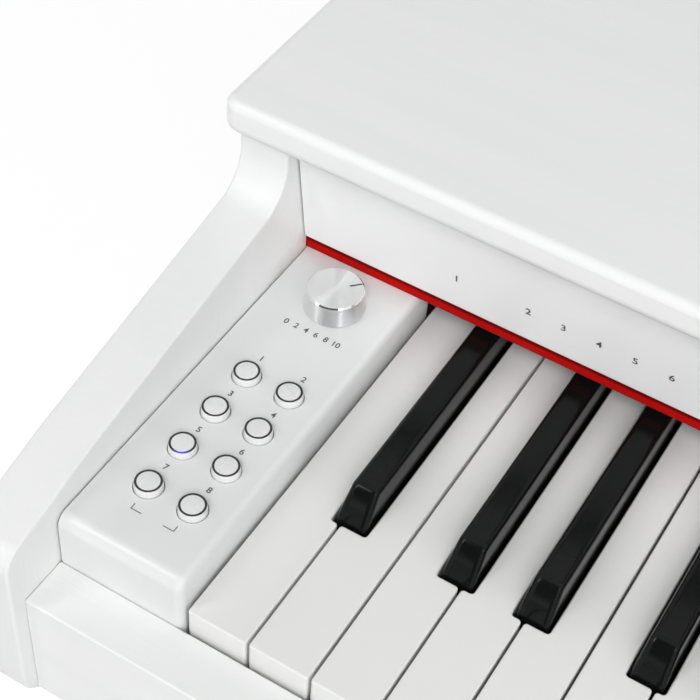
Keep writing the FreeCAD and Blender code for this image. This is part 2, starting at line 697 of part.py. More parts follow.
def controls():
    """The two blocks and what is in and on them."""
    left = ("leftEdge", "-keysHalf - keyEndGap")
    right = ("-(leftEdge)", "keysHalf + keyEndGap")
    buttons = list(button_places())
    power = ("powerX", "powerY")
    knob = ("knobX", "knobY")
    rows = ("feltFront - panelBack - panelInset", "feltFront - panelFront + panelInset")
    left_posts = [(x, y) for y in rows
                  for x in ("leftEdge + blockWall + panelInset",
                            "-keysHalf - keyEndGap - blockWall - panelInset")]
    right_posts = [(f"powerX + {side} * switchWide * 2", "powerY") for side in (-1, 1)]
    control_block("left_key_block", *left,
                  [(x, y, "buttonRadius + buttonPlay") for x, y in buttons]
                  + [(*knob, "shaftRadius + shaftHolePlay")], left_posts)
    control_block("right_key_block", *right, [(*power, "powerRadius + buttonPlay")], right_posts)
    for number, (x, y) in enumerate(buttons, 1):
        push_button(f"button_{number}", "buttonRadius", x, y)
    push_button("power_button", "powerRadius", *power)
    node("volume_knob", turned([
        ("0", "encoderTop - shaftBite"), ("shaftRadius", "encoderTop - shaftBite"),
        ("shaftRadius", "knobLow"), ("knobRadius", "knobLow"),
        ("knobRadius", "knobLow + knobHigh - knobChamfer"),
        ("knobRadius - knobChamfer", "knobLow + knobHigh"), ("0", "knobLow + knobHigh")],
        (*knob, "0")))
    half = "encoderWide / 2"
    node("volume_encoder", cut(
        block((f"knobX - {half}", f"knobX + {half}"), (f"knobY - {half}", f"knobY + {half}"),
              ("panelTop", "encoderTop")),
        cylinder("shaftRadius + shaftPlay", "shaftBite + 1",
                 (*knob, "encoderTop - shaftBite - 0.5"))))
    boards = [
        block(("leftEdge + blockWall + 1", "-keysHalf - keyEndGap - blockWall - 1"),
              ("feltFront - panelFront", "feltFront - panelBack"),
              ("panelTop - circuitThick", "panelTop")),
        block(("powerX - switchWide * 3", "powerX + switchWide * 3"),
              ("powerY - switchWide", "powerY + switchWide"),
              ("panelTop - circuitThick", "panelTop"))]
    node("panel_circuit_boards",
         group(boards + [switch_at(x, y) for x, y in buttons + [power]]))


# The electronics behind the keys.

def main_circuit_board():
    """The main board on four standoffs, with a row of chips."""
    low = "bedTop + standoffHigh"
    top = f"{low} + circuitThick"
    sides = ("boardX - boardLong / 2", "boardX + boardLong / 2")
    ends = ("boardY - boardWide / 2", "boardY + boardWide / 2")
    parts = [block(sides, ends, (low, top))]
    for x, x_sign in zip(sides, "+-"):
        for y, y_sign in zip(ends, "+-"):
            parts.append(cylinder("standoffRadius", "standoffHigh",
                                  (f"{x} {x_sign} 2 * standoffRadius",
                                   f"{y} {y_sign} 2 * standoffRadius", "bedTop")))
    for step in (-1, 0, 1):
        middle = f"boardX + {step} * chipPitch"
        parts.append(block((f"{middle} - chipWide / 2", f"{middle} + chipWide / 2"),
                           ("boardY - chipWide / 2", "boardY + chipWide / 2"),
                           (top, f"{top} + chipHigh")))
    return node("main_circuit_board", group(parts))


def speakers():
    """Two round speakers that face down through the bed."""
    flange = "bedTop + flangeHigh"
    basket = f"{flange} + basketHigh"
    top = f"{basket} + magnetHigh"
    return node("speakers", group([turned([
        ("speakerHole", "bedTop"), ("speakerRadius", "bedTop"), ("speakerRadius", flange),
        ("speakerHole + coneWall", flange), ("magnetRadius", basket), ("magnetRadius", top),
        ("0", top), ("0", f"{basket} - coneWall"),
        ("magnetRadius - 2 * coneWall", f"{basket} - coneWall")],
        (f"{side}speakerX", "speakerY", "0")) for side in ("-", "")]))


def speaker_grilles():
    """A slotted round cover under each speaker hole."""
    members = []
    for side in ("-", ""):
        body = new_body()
        x = f"{side}speakerX"
        pad(body, "XY_Plane", ("bedLow - grilleThick", "bedLow"),
            circles=[(x, "speakerY", "speakerRadius")])
        first = "speakerY - (slotCount - 1) / 2 * slotPitch"
        slot = pocket(body, "XY_Plane", ("bedLow - grilleThick", "bedLow"), [rectangle(
            (f"{x} - slotLong / 2", f"{x} + slotLong / 2"),
            (f"{first} - slotWide / 2", f"{first} + slotWide / 2"))])
        repeat(body, "Y_Axis", "slotPitch", "slotCount", [slot])
        members.append(body)
    return node("speaker_grilles", group(members))


def connector_panel():
    """The plate of sockets on the back: power inlet, pedal, line and data."""
    plate = "backInner + upperBackThick"
    low = "bedTop + portsRise - portsLap"
    high = "bedTop + portsRise + portsTall + portsLap"
    middle = "bedTop + portsRise + portsTall / 2"
    body = new_body()
    pad(body, "XZ_Plane", (plate, f"{plate} + portsThick"),
        [rectangle(("portsX - portsWide / 2", "portsX + portsWide / 2"), (low, high))])
    first = "portsX - (jackCount - 1) / 2 * jackPitch"
    jack = pad(body, "XZ_Plane", (f"{plate} - jackDeep", plate), [rectangle(
        (f"{first} - jackWide / 2", f"{first} + jackWide / 2"),
        (f"{middle} - jackWide / 2", f"{middle} + jackWide / 2"))])
    repeat(body, "X_Axis", "jackPitch", "jackCount", [jack])
    hole = pocket(body, "XZ_Plane", (f"{plate} - jackDeep + portsThick", f"{plate} + portsThick"),
                  circles=[(first, middle, "jackRadius")])
    repeat(body, "X_Axis", "jackPitch", "jackCount", [hole])
    return node("connector_panel", body)


def electronics():
    """What turns the keys into sound."""
    main_circuit_board()
    speakers()
    speaker_grilles()
    connector_panel()


# The pedals.

PEDALS = (("soft_pedal", -1), ("sostenuto_pedal", 0), ("sustain_pedal", 1))


def pedal_rail():
    """The board between the feet, with a slot for each pedal."""
    body = new_body()
    ends = ("-railFront", "railBack")
    pad(body, "XZ_Plane", ends, [rectangle(("-innerHalf", "innerHalf"), ("footTop", "railTop"))])
    half = "leverWide / 2 + slotSide"
    pocket(body, "XZ_Plane", ends, [
        rectangle((f"{step} * pedalPitch - ({half})", f"{step} * pedalPitch + {half}"),
                  ("pedalLow - slotBelow", "pedalHigh + slotAbove")) for _, step in PEDALS])
    return node("pedal_rail", body)


def pedal_box():
    """The steel box behind the rail, open towards the pedals."""
    low, high = "boxLow", "boxLow + boxHigh"
    outer = ("-boxWide / 2", "boxWide / 2")
    inner = ("boxWall - boxWide / 2", "boxWide / 2 - boxWall")
    body = new_body()
    pad(body, "XZ_Plane", ("railBack", "railBack + boxDeep"), [rectangle(outer, (low, high))])
    pocket(body, "XZ_Plane", ("railBack", "railBack + boxDeep - boxWall"),
           [rectangle(inner, (f"{low} + boxWall", f"{high} - boxWall"))])
    pocket(body, "YZ_Plane", outer, circles=[("pedalPivot", "pedalCentre", "pedalPin")])
    return node("pedal_box", body)


def pedal(label, step):
    """A pedal: a narrow lever that widens into a round-ended plate, on a bored boss."""
    x = f"{step} * pedalPitch"
    lever, plate = "leverWide / 2", "pedalWide / 2"
    neck = "-railFront - pedalNeck / 2"
    body = new_body()
    pad(body, "XY_Plane", ("pedalLow", "pedalHigh"), [[
        (f"{x} - {plate}", "-pedalTip"), (f"{x} + {plate}", "-pedalTip"),
        (f"{x} + {plate}", f"{neck} - pedalNeck / 2"), (f"{x} + {lever}", neck),
        (f"{x} + {lever}", "pedalPivot"), (f"{x} - {lever}", "pedalPivot"),
        (f"{x} - {lever}", neck), (f"{x} - {plate}", f"{neck} - pedalNeck / 2")]])
    boss = (f"{x} - pedalBossWide / 2", f"{x} + pedalBossWide / 2")
    pad(body, "YZ_Plane", boss, circles=[("pedalPivot", "pedalCentre", "pedalBoss")])
    round_edges(body, "pedalTipRound", lies_along_z(f"{x} - {plate}", "-pedalTip"),
                lies_along_z(f"{x} + {plate}", "-pedalTip"))
    pocket(body, "YZ_Plane", boss, circles=[("pedalPivot", "pedalCentre", "pedalPin + pedalPlay")])
    return node(label, body)


def pedal_springs():
    """A torsion spring on the rod beside each pedal, drawn as the tube its coil fills."""
    members = []
    for _, step in PEDALS:
        start = (f"{step} * pedalPitch + pedalBossWide / 2 + springGap", "pedalPivot", "pedalCentre")
        members.append(cut(cylinder("springRadius", "springLong", start, "X"),
                           cylinder("pedalPin + springPlay", "springLong", start, "X")))
    return node("pedal_springs", group(members))


def pedals():
    """The rail, the box and the three pedals on their rod."""
    pedal_rail()
    pedal_box()
    node("pedal_pivot_rod",
         cylinder("pedalPin", "boxWide", ("-boxWide / 2", "pedalPivot", "pedalCentre"), "X"))
    for label, step in PEDALS:
        pedal(label, step)
    pedal_springs()
    node("pedal_rail_adjuster", turned([
        ("0", "0"), ("adjusterRadius", "0"), ("adjusterRadius", "adjusterDisc"),
        ("adjusterStem", "adjusterDisc"), ("adjusterStem", "footHigh"), ("0", "footHigh")],
        ("0", "railThick / 2 - railFront", "0")))


# The music rest. Its board lies behind the hinge line and leans back, so its
# profile is drawn with distances along the board and away from its back face.

def rest_point(along, away):
    """A point on the leaning board's profile, measured from the hinge line."""
    return (f"restPlace + ({along}) * restRun + ({away}) * restRise",
            f"hingeZ + ({along}) * restRise - ({away}) * restRun")


def music_rest():
    """The music board with its ledge, its hinge barrels and the lugs of the prop."""
    body = new_body()
    half = "restWide / 2"
    pad(body, "YZ_Plane", (f"-{half}", half), [[
        rest_point("restAxis", "0"), rest_point("restTall", "0"),
        rest_point("restTall", "-restThick"), rest_point("restAxis + ledgeThick", "-restThick"),
        rest_point("restAxis + ledgeThick", "-restThick - ledgeDeep + ledgeUp"),
        rest_point("restAxis + ledgeThick + ledgeUp", "-restThick - ledgeDeep + ledgeUp"),
        rest_point("restAxis + ledgeThick + ledgeUp", "-restThick - ledgeDeep"),
        rest_point("restAxis", "-restThick - ledgeDeep")]])
    for centre in ("-hingePitch / 2", "hingePitch / 2"):
        barrel = (f"{centre} - hingeLong / 4", f"{centre} + hingeLong / 4")
        pad(body, "YZ_Plane", barrel, [[
            rest_point("0", "-knuckleRadius / 2"), rest_point("restAxis + 2", "-restThick"),
            rest_point("restAxis + 2", "0"), rest_point("0", "knuckleRadius / 2")]])
        pad(body, "YZ_Plane", barrel, circles=[("restPlace", "hingeZ", "knuckleRadius")])
        pocket(body, "YZ_Plane", barrel, circles=[("restPlace", "hingeZ", "hingePin + hingePlay")])
    for side in (-1, 1):
        inner = f"{side} * (propWide / 2 + propGap + lugThick / 2)"
        lug = (f"{inner} - lugThick / 2", f"{inner} + lugThick / 2")
        pad(body, "YZ_Plane", lug, [[
            rest_point("propAlong - lugRadius", "0"), rest_point("propAlong + lugRadius", "0"),
            rest_point("propAlong + lugRadius", "propAway + propPin + 1"),
            rest_point("propAlong - lugRadius", "propAway + propPin + 1")]])
        pocket(body, "YZ_Plane", lug, circles=[
            (*rest_point("propAlong", "propAway"), "propPin + hingePlay")])
    return node("music_rest", body)


def music_rest_prop():
    """The prop behind the board: a flat stay with a pin end in each lug."""
    head = rest_point("propAlong", "propAway")
    foot = ("restPlace + propFoot", "lidTop + propGap")
    body = new_body()
    pad(body, "YZ_Plane", ("-propWide / 2", "propWide / 2"), [[
        (f"{head[0]} - propThick / 2", f"{head[1]} - propPin"),
        (f"{head[0]} + propThick / 2", f"{head[1]} + propPin / 2"),
        (f"{foot[0]} + propThick / 2", foot[1]), (f"{foot[0]} - propThick / 2", foot[1])]])
    pin = "propWide / 2 + propGap + lugThick"
    pad(body, "YZ_Plane", (f"-({pin})", pin), circles=[(*head, "propPin")])
    return node("music_rest_prop", body)


def music_rest_hinges():
    """Two fixed hinge leaves screwed to the top board, each with its pin."""
    members = []
    for centre in ("-hingePitch / 2", "hingePitch / 2"):
        body = new_body()
        low, high = f"{centre} - hingeLong / 2", f"{centre} + hingeLong / 2"
        inner_low = f"{centre} - hingeLong / 4 - knuckleGap"
        inner_high = f"{centre} + hingeLong / 4 + knuckleGap"
        pad(body, "YZ_Plane", (low, high), [rectangle(
            ("restPlace - leafDeep / 2", "restPlace + leafDeep / 2"),
            ("lidTop", "lidTop + leafThick"))])
        for ends in ((low, inner_low), (inner_high, high)):
            pad(body, "YZ_Plane", ends, [rectangle(
                ("restPlace - knuckleRadius", "restPlace + knuckleRadius"),
                ("lidTop + leafThick / 2", "hingeZ"))])
            pad(body, "YZ_Plane", ends, circles=[("restPlace", "hingeZ", "knuckleRadius")])
        pad(body, "YZ_Plane", (low, high), circles=[("restPlace", "hingeZ", "hingePin")])
        members.append(body)
    return node("music_rest_hinges", group(members))


# The fasteners.

def corner_brackets():
    """Four steel angles that tie the side boards to the underside of the bed."""
    members = []
    for side in (-1, 1):
        corner = f"{side} * innerHalf"
        body = new_body()
        width = ("-anglePlace - angleWide / 2", "angleWide / 2 - anglePlace")
        angle = pad(body, "XZ_Plane", width, [[
            (corner, "bedLow"), (f"{side} * (innerHalf - angleLeg)", "bedLow"),
            (f"{side} * (innerHalf - angleLeg)", "bedLow - angleThick"),
            (f"{side} * (innerHalf - angleThick)", "bedLow - angleThick"),
            (f"{side} * (innerHalf - angleThick)", "bedLow - angleLeg"),
            (corner, "bedLow - angleLeg")]])
        hole = "screwRadius + screwHolePlay"
        bed_hole = pocket(body, "XY_Plane", ("bedLow - angleThick", "bedLow"), circles=[
            (f"{side} * (innerHalf - angleLeg / 2)", "-anglePlace", hole)])
        span = (("innerHalf - angleThick", "innerHalf") if side > 0
                else ("-(innerHalf)", "angleThick - innerHalf"))
        side_hole = pocket(body, "YZ_Plane", span,
                           circles=[("-anglePlace", "bedLow - angleLeg / 2", hole)])
        repeat(body, "Y_Axis", "2 * anglePlace", "2", [angle, bed_hole, side_hole])
        members.append(body)
    return node("corner_brackets", group(members))


def screw(at, axis, sign):
    """A round-headed screw: the head stands at a point and the shank runs on past it."""
    base = dict(zip("XYZ", at))
    head_at, shank_at = dict(base), dict(base)
    if sign < 0:
        shank_at[axis] = f"{base[axis]} - screwLong"
    else:
        head_at[axis] = f"{base[axis]} - screwHeadHigh"
    return fuse([cylinder("screwHead", "screwHeadHigh", tuple(head_at.values()), axis),
                 cylinder("screwRadius", "screwLong", tuple(shank_at.values()), axis)])


def cabinet_screws():
    """The screws of the corner brackets and of the upper back panel."""
    members = []
    for side in (-1, 1):
        for place_y in ("-anglePlace", "anglePlace"):
            members.append(screw((f"{side} * (innerHalf - angleLeg / 2)", place_y,
                                  "bedLow - angleThick"), "Z", 1))
            members.append(screw((f"{side} * (innerHalf - angleThick)", place_y,
                                  "bedLow - angleLeg / 2"), "X", side))
    back = "backInner + upperBackThick"
    for step in range(-3, 4):
        members.append(screw((f"{step} * backScrewPitch", back, "bedTop - bedThick / 2"), "Y", -1))
    return node("cabinet_screws", group(members))


def finish():
    """Check every feature, then write each sub-part to its own file."""
    doc.recompute()
    for thing in doc.Objects:
        if "Invalid" in thing.State or "Error" in thing.State:
            raise RuntimeError(f"{thing.Name} ({thing.Label}) did not build: {thing.State}")
        if thing.TypeId == "PartDesign::Pocket":
            before = thing.BaseFeature.Shape.Volume
            if thing.Shape.Volume > before - 1e-3:
                raise RuntimeError(f"{thing.Name} cuts nothing")
    os.makedirs("parts", exist_ok=True)
    for label, thing in nodes:
        if thing.Shape.isNull() or not thing.Shape.isValid():
            raise RuntimeError(f"{label} has no valid shape")
    for label, thing in nodes:
        thing.Shape.exportStep(f"parts/{label}.step")
    print(len(nodes), "nodes,", sum(len(thing.Shape.Solids) for _, thing in nodes), "solids")


case()
keyboard()
controls()
electronics()
pedals()
music_rest()
music_rest_prop()
music_rest_hinges()
corner_brackets()
cabinet_screws()
finish()
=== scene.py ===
"""The looks of a digital piano on its stand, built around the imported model.

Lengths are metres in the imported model's frame: X runs along the keys towards the treble, Y from the
player to the back, Z up, and the origin is on the floor under the middle of the piano.
"""

import logging
import math
from dataclasses import dataclass
from enum import Enum
from typing import Callable, Iterable, Sequence

import bmesh
import bpy
from mathutils import Matrix, Vector


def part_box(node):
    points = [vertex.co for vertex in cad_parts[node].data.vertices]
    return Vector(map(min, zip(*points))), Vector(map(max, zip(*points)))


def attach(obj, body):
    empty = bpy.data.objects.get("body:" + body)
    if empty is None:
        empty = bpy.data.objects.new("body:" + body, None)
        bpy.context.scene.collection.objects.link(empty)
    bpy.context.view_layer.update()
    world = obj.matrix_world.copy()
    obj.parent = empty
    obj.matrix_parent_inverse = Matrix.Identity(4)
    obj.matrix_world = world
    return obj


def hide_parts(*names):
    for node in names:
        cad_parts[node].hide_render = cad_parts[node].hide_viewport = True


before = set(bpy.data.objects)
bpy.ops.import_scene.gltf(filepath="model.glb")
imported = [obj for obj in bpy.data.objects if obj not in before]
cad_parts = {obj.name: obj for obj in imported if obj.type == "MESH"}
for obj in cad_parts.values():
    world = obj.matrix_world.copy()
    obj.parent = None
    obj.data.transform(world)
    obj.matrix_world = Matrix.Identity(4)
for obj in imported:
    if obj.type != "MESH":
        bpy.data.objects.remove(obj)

log = logging.getLogger("piano")
Point = Sequence[float]
Spot = tuple[float, float, float]
Tone = tuple[float, float, float]
Test = Callable[[Vector, Vector], bool]

MM = 0.001
HAIR = 0.00001
SQUARE = math.pi / 2


class Element(Enum):
    """What an edit-mode operator acts on."""

    VERT = "VERT"
    EDGE = "EDGE"
    FACE = "FACE"


class Plane(Enum):
    """The plane that an outline is drawn in, with the unit vectors of its two ways and its depth."""

    XY = (Vector((1, 0, 0)), Vector((0, 1, 0)), Vector((0, 0, 1)))
    XZ = (Vector((1, 0, 0)), Vector((0, 0, 1)), Vector((0, 1, 0)))
    YZ = (Vector((0, 1, 0)), Vector((0, 0, 1)), Vector((1, 0, 0)))

    def point(self, across: float, up: float, depth: float) -> Vector:
        """A place in space from two distances in the plane and one along its depth."""
        first, second, third = self.value
        return first * across + second * up + third * depth


@dataclass(frozen=True)
class Corner:
    """A corner of an outline, with the radius that rounds it."""

    across: float
    up: float
    radius: float = 0.0


@dataclass(frozen=True)
class Box:
    """The box of a packed sub-part at rest."""

    low: Vector
    high: Vector

    @classmethod
    def of(cls, node: str) -> "Box":
        """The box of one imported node."""
        return cls(*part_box(node))

    @property
    def middle(self) -> Vector:
        """The middle of the box."""
        return (self.low + self.high) / 2


def near(first: float, second: float, slack: float = 2 * HAIR) -> bool:
    """Whether two lengths agree to a hair or two."""
    return abs(first - second) < slack


def along(part: float) -> bool:
    """Whether an edge lies nearly along an axis, from that axis's part of its run."""
    return abs(part) > 0.9


# ---------------------------------------------------------------------------- modelling


def clear_bench() -> None:
    """Leave edit mode and let go of everything that is selected."""
    if bpy.context.mode != "OBJECT":
        bpy.ops.object.mode_set(mode="OBJECT")
    bpy.ops.object.select_all(action="DESELECT")


class Workpiece:
    """One mesh on the bench, shaped in edit mode and then finished."""

    def __init__(self, name: str) -> None:
        """Take the active object on.

        Args:
            name: the name that the piece keeps.
        """
        self.thing = bpy.context.object
        self.thing.name = name
        self.thing.data.name = name
        bpy.ops.object.transform_apply(location=True, rotation=True, scale=True)
        bpy.ops.object.mode_set(mode="EDIT")

    @classmethod
    def block(cls, name: str, low: Point, high: Point) -> "Workpiece":
        """A cube added at its size and place.

        Args:
            name: the piece's name.
            low: the lowest corner.
            high: the highest corner.

        Returns:
            The workpiece, in edit mode.
        """
        low, high = Vector(low), Vector(high)
        clear_bench()
        bpy.ops.mesh.primitive_cube_add(size=1, location=(low + high) / 2, scale=high - low)
        return cls(name)

    @classmethod
    def bar(cls, name: str, centre: Point, radius: float, depth: float,
            axis: str = "Z", sides: int = 48) -> "Workpiece":
        """A cylinder added at its size and place.

        Args:
            name: the piece's name.
            centre: the middle of the bar.
            radius: its radius.
            depth: its length.
            axis: the letter of the axis that it lies along.
            sides: how many flats make up the round.

        Returns:
            The workpiece, in edit mode.
        """
        turn = {"X": (0, SQUARE, 0), "Y": (SQUARE, 0, 0), "Z": (0, 0, 0)}[axis]
        clear_bench()
        bpy.ops.mesh.primitive_cylinder_add(
            vertices=sides, radius=radius, depth=depth, location=centre, rotation=turn)
        return cls(name)

    @classmethod
    def chain(cls, name: str, plane: Plane, depth: float, corners: Sequence[Corner]) -> "Workpiece":
        """A run of edges drawn in a plane, one extruded vertex after another.

        Args:
            name: the piece's name.
            plane: the plane to draw in.
            depth: how far along the plane's depth the drawing lies.
            corners: the points in order.

        Returns:
            The workpiece, in edit mode, with the last vertex selected.
        """
        points = [plane.point(corner.across, corner.up, depth) for corner in corners]
        clear_bench()
        bpy.ops.mesh.primitive_plane_add(size=MM, location=points[0])
        piece = cls(name)
        bpy.ops.mesh.select_mode(type="VERT")
        bpy.ops.mesh.merge(type="CENTER")
        for start, end in zip(points, points[1:]):
            bpy.ops.mesh.extrude_region_move(TRANSFORM_OT_translate={"value": end - start})
        return piece

    @classmethod
    def board(cls, name: str, plane: Plane, span: tuple[float, float],
              corners: Sequence[Corner]) -> "Workpiece":
        """A board: an outline with rounded corners, filled and extruded to its thickness.

        Args:
            name: the piece's name.
            plane: the plane of the outline.
            span: where the board starts and ends along the plane's depth.
            corners: the outline's corners in order.

        Returns:
            The workpiece, in edit mode.
        """
        piece = cls.chain(name, plane, span[0], corners)
        bpy.ops.mesh.select_all(action="SELECT")
        bpy.ops.mesh.edge_face_add()
        places = [Vector((corner.across, corner.up)) for corner in corners]
        for index, corner in enumerate(corners):
            if not corner.radius:
                continue
            before = places[index - 1] - places[index]
            after = places[(index + 1) % len(places)] - places[index]
            reach = corner.radius / math.tan(before.angle(after) / 2)
            spot = plane.point(corner.across, corner.up, span[0])
            piece.pick(Element.VERT, lambda at, _: (at - spot).length < HAIR)
            steps = max(3, min(12, int(corner.radius / MM)))
            bpy.ops.mesh.bevel(offset=reach, segments=steps, affect="VERTICES")
        bpy.ops.mesh.select_all(action="SELECT")
        piece.extrude(plane.point(0, 0, span[1] - span[0]))
        return piece.tidy()

    @classmethod
    def turned(cls, name: str, centre: Point, profile: Sequence[Point], steps: int = 48) -> "Workpiece":
        """A turned piece: a profile of radius and height spun about an upright axis.

        Args:
            name: the piece's name.
            centre: a point on the axis, from whose height the profile's heights count.
            profile: the radius and height of each point, from axis to axis.
            steps: how many steps make up the turn.

        Returns:
            The workpiece, in edit mode.
        """
        piece = cls.chain(name, Plane.XZ, 0, [Corner(radius, height) for radius, height in profile])
        bpy.ops.mesh.select_all(action="SELECT")
        bpy.ops.mesh.spin(steps=steps, angle=math.tau, center=(0, 0, 0), axis=(0, 0, 1))
        piece.tidy()
        bpy.ops.mesh.select_all(action="SELECT")
        bpy.ops.transform.translate(value=Vector(centre))
        return piece

    @classmethod
    def copy_of_node(cls, name: str, node: str) -> "Workpiece":
        """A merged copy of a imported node's mesh, with its flat faces made whole.

        Args:
            name: the copy's name.
            node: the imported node.

        Returns:
            The workpiece, in edit mode.
        """
        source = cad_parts[node]
        twin = bpy.data.objects.new(name, source.data.copy())
        bpy.context.scene.collection.objects.link(twin)
        clear_bench()
        twin.select_set(True)
        bpy.context.view_layer.objects.active = twin
        piece = cls(name)
        bpy.ops.mesh.select_all(action="SELECT")
        bpy.ops.mesh.remove_doubles(threshold=HAIR)
        bpy.ops.mesh.dissolve_limited(angle_limit=math.radians(1))
        return piece

    def pick(self, kind: Element, test: Test) -> "Workpiece":
        """Select what passes a test and nothing else.

        Args:
            kind: whether vertices, edges or faces are meant.
            test: is given each element's middle and its direction: a normal, or an edge's run.

        Returns:
            The workpiece.
        """
        bpy.ops.mesh.select_all(action="DESELECT")
        bpy.ops.mesh.select_mode(type=kind.value)
        mesh = bmesh.from_edit_mesh(self.thing.data)
        if kind is Element.VERT:
            chosen = [vert for vert in mesh.verts if test(vert.co, vert.normal)]
        elif kind is Element.EDGE:
            chosen = [edge for edge in mesh.edges
                      if test((edge.verts[0].co + edge.verts[1].co) / 2,
                              (edge.verts[1].co - edge.verts[0].co).normalized())]
        else:
            chosen = [face for face in mesh.faces if test(face.calc_center_median(), face.normal)]
        for element in chosen:
            element.select_set(True)
        mesh.select_flush_mode()
        bmesh.update_edit_mesh(self.thing.data)
        if not chosen:
            raise ValueError(f"nothing picked on {self.thing.name}")
        return self

    def faces(self, way: Point, test: Callable[[Vector], bool] = lambda at: True) -> "Workpiece":
        """Select the faces that look one way and whose middles pass a test."""
        heading = Vector(way)
        return self.pick(Element.FACE, lambda at, normal: normal.dot(heading) > 0.999 and test(at))

    def edges(self, test: Test) -> "Workpiece":
        """Select the edges that pass a test of middle and run."""
        return self.pick(Element.EDGE, test)

    def bevel(self, width: float, segments: int = 3) -> "Workpiece":
        """Round the selected edges."""
        bpy.ops.mesh.bevel(offset=width, segments=segments, affect="EDGES", clamp_overlap=True)
        return self

    def extrude(self, way: Point) -> "Workpiece":
        """Draw the selection out."""
        bpy.ops.mesh.extrude_region_move(TRANSFORM_OT_translate={"value": Vector(way)})
        return self

    def inset(self, thickness: float) -> "Workpiece":
        """Set the selected faces in from their outline."""
        bpy.ops.mesh.inset(thickness=thickness)
        return self

    def move(self, way: Point) -> "Workpiece":
        """Shift the selection."""
        bpy.ops.transform.translate(value=Vector(way))
        return self

    def stretch(self, by: Point, about: Point) -> "Workpiece":
        """Scale the selection about a point."""
        bpy.ops.transform.resize(value=Vector(by), center_override=Vector(about))
        return self

    def bisect(self, place: Point, normal: Point) -> "Workpiece":
        """Run a cut across the whole mesh without taking anything away.

        Args:
            place: a point in the cut.
            normal: the way that the cut faces.

        Returns:
            The workpiece.
        """
        bpy.ops.mesh.select_all(action="SELECT")
        bpy.ops.mesh.bisect(plane_co=Vector(place), plane_no=Vector(normal))
        return self

    def tidy(self) -> "Workpiece":
        """Merge doubled points and turn every face outwards.

        Returns:
            The workpiece, selected all over.
        """
        bpy.ops.mesh.select_all(action="SELECT")
        bpy.ops.mesh.remove_doubles(threshold=HAIR)
        bpy.ops.mesh.normals_make_consistent(inside=False)
        return self

    def apply(self, kind: str, **settings: object) -> "Workpiece":
        """Add a modifier, set it up and apply it.

        Args:
            kind: the modifier's type.
            settings: its properties.

        Returns:
            The workpiece, back in edit mode.
        """
        bpy.ops.object.mode_set(mode="OBJECT")
        bpy.context.view_layer.objects.active = self.thing
        bpy.ops.object.modifier_add(type=kind)
        modifier = self.thing.modifiers[-1]
        for key, value in settings.items():
            setattr(modifier, key, value)
        bpy.ops.object.modifier_apply(modifier=modifier.name)
        bpy.ops.object.mode_set(mode="EDIT")
        return self

    def soften(self, width: float, segments: int = 2, angle: float = 40) -> "Workpiece":
        """Round each edge of the piece that is sharper than an angle in degrees."""
        return self.apply("BEVEL", width=width, segments=segments, limit_method="ANGLE",
                          angle_limit=math.radians(angle), harden_normals=False)

    def shape_with(self, other: "Workpiece", operation: str = "DIFFERENCE") -> "Workpiece":
        """Cut another workpiece out of this one or weld it on, and throw it away.

        Args:
            other: the cutter or the addition.
            operation: DIFFERENCE or UNION.

        Returns:
            This workpiece.
        """
        tool = other.thing
        clear_bench()
        self.thing.select_set(True)
        bpy.context.view_layer.objects.active = self.thing
        bpy.ops.object.modifier_add(type="BOOLEAN")
        modifier = self.thing.modifiers[-1]
        modifier.operation = operation
        modifier.solver = "EXACT"
        modifier.object = tool
        bpy.ops.object.modifier_apply(modifier=modifier.name)
        bpy.data.objects.remove(tool)
        bpy.ops.object.mode_set(mode="EDIT")
        return self

    def off_bench(self, angle: float = 38, weigh: bool = True) -> bpy.types.Object:
        """Finish the shading and hand the object over.

        Args:
            angle: edges sharper than this many degrees stay sharp.
            weigh: whether normals lean towards the larger faces.

        Returns:
            The finished object, in object mode.
        """
        clear_bench()
        self.thing.select_set(True)
        bpy.context.view_layer.objects.active = self.thing
        bpy.ops.object.shade_smooth_by_angle(angle=math.radians(angle))
        if weigh:
            bpy.ops.object.modifier_add(type="WEIGHTED_NORMAL")
            self.thing.modifiers[-1].keep_sharp = True
            bpy.ops.object.modifier_apply(modifier=self.thing.modifiers[-1].name)
        return self.thing


def dress(thing: bpy.types.Object, finish: "Finish", body: str, slot: str,
          stands_for: Iterable[str] = ()) -> None:
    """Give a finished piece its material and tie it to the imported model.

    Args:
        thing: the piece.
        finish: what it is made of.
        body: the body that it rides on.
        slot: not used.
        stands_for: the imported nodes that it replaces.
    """
    thing.data.materials.clear()
    thing.data.materials.append(finish.material())
    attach(thing, body)
    for node in stands_for:
        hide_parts(node)
    log.info("%s: %d faces on %s", thing.name, len(thing.data.polygons), body)


def moved_copy(source: bpy.types.Object, name: str, change: Matrix) -> bpy.types.Object:
    """A copy with its own mesh, carried to another place.

    Args:
        source: the finished piece to copy.
        name: the copy's name.
        change: the move, which goes into the mesh.

    Returns:
        The new object.
    """
    twin = source.copy()
    twin.data = source.data.copy()
    twin.name = name
    twin.data.name = name
    twin.parent = None
    twin.data.transform(change)
    for key in list(twin.keys()):
        if key.startswith("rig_"):
            del twin[key]
    bpy.context.scene.collection.objects.link(twin)
    return twin


def ease(node: str, ending: str, width: float, finish: "Finish", slot: str, body: str = "cabinet",
         segments: int = 2, angle: float = 40) -> None:
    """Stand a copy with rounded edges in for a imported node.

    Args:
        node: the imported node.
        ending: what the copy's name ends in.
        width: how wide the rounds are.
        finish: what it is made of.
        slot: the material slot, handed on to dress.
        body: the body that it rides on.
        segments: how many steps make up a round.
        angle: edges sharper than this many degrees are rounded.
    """
    piece = Workpiece.copy_of_node(f"{node}_{ending}", node)
    piece.soften(width, segments, angle)
    dress(piece.off_bench(angle=30), finish, body, slot, (node,))


# ---------------------------------------------------------------------------- finishes


NOISE_LOW, NOISE_HIGH = 0.3, 0.7
BROAD_GLOSS = 0.06


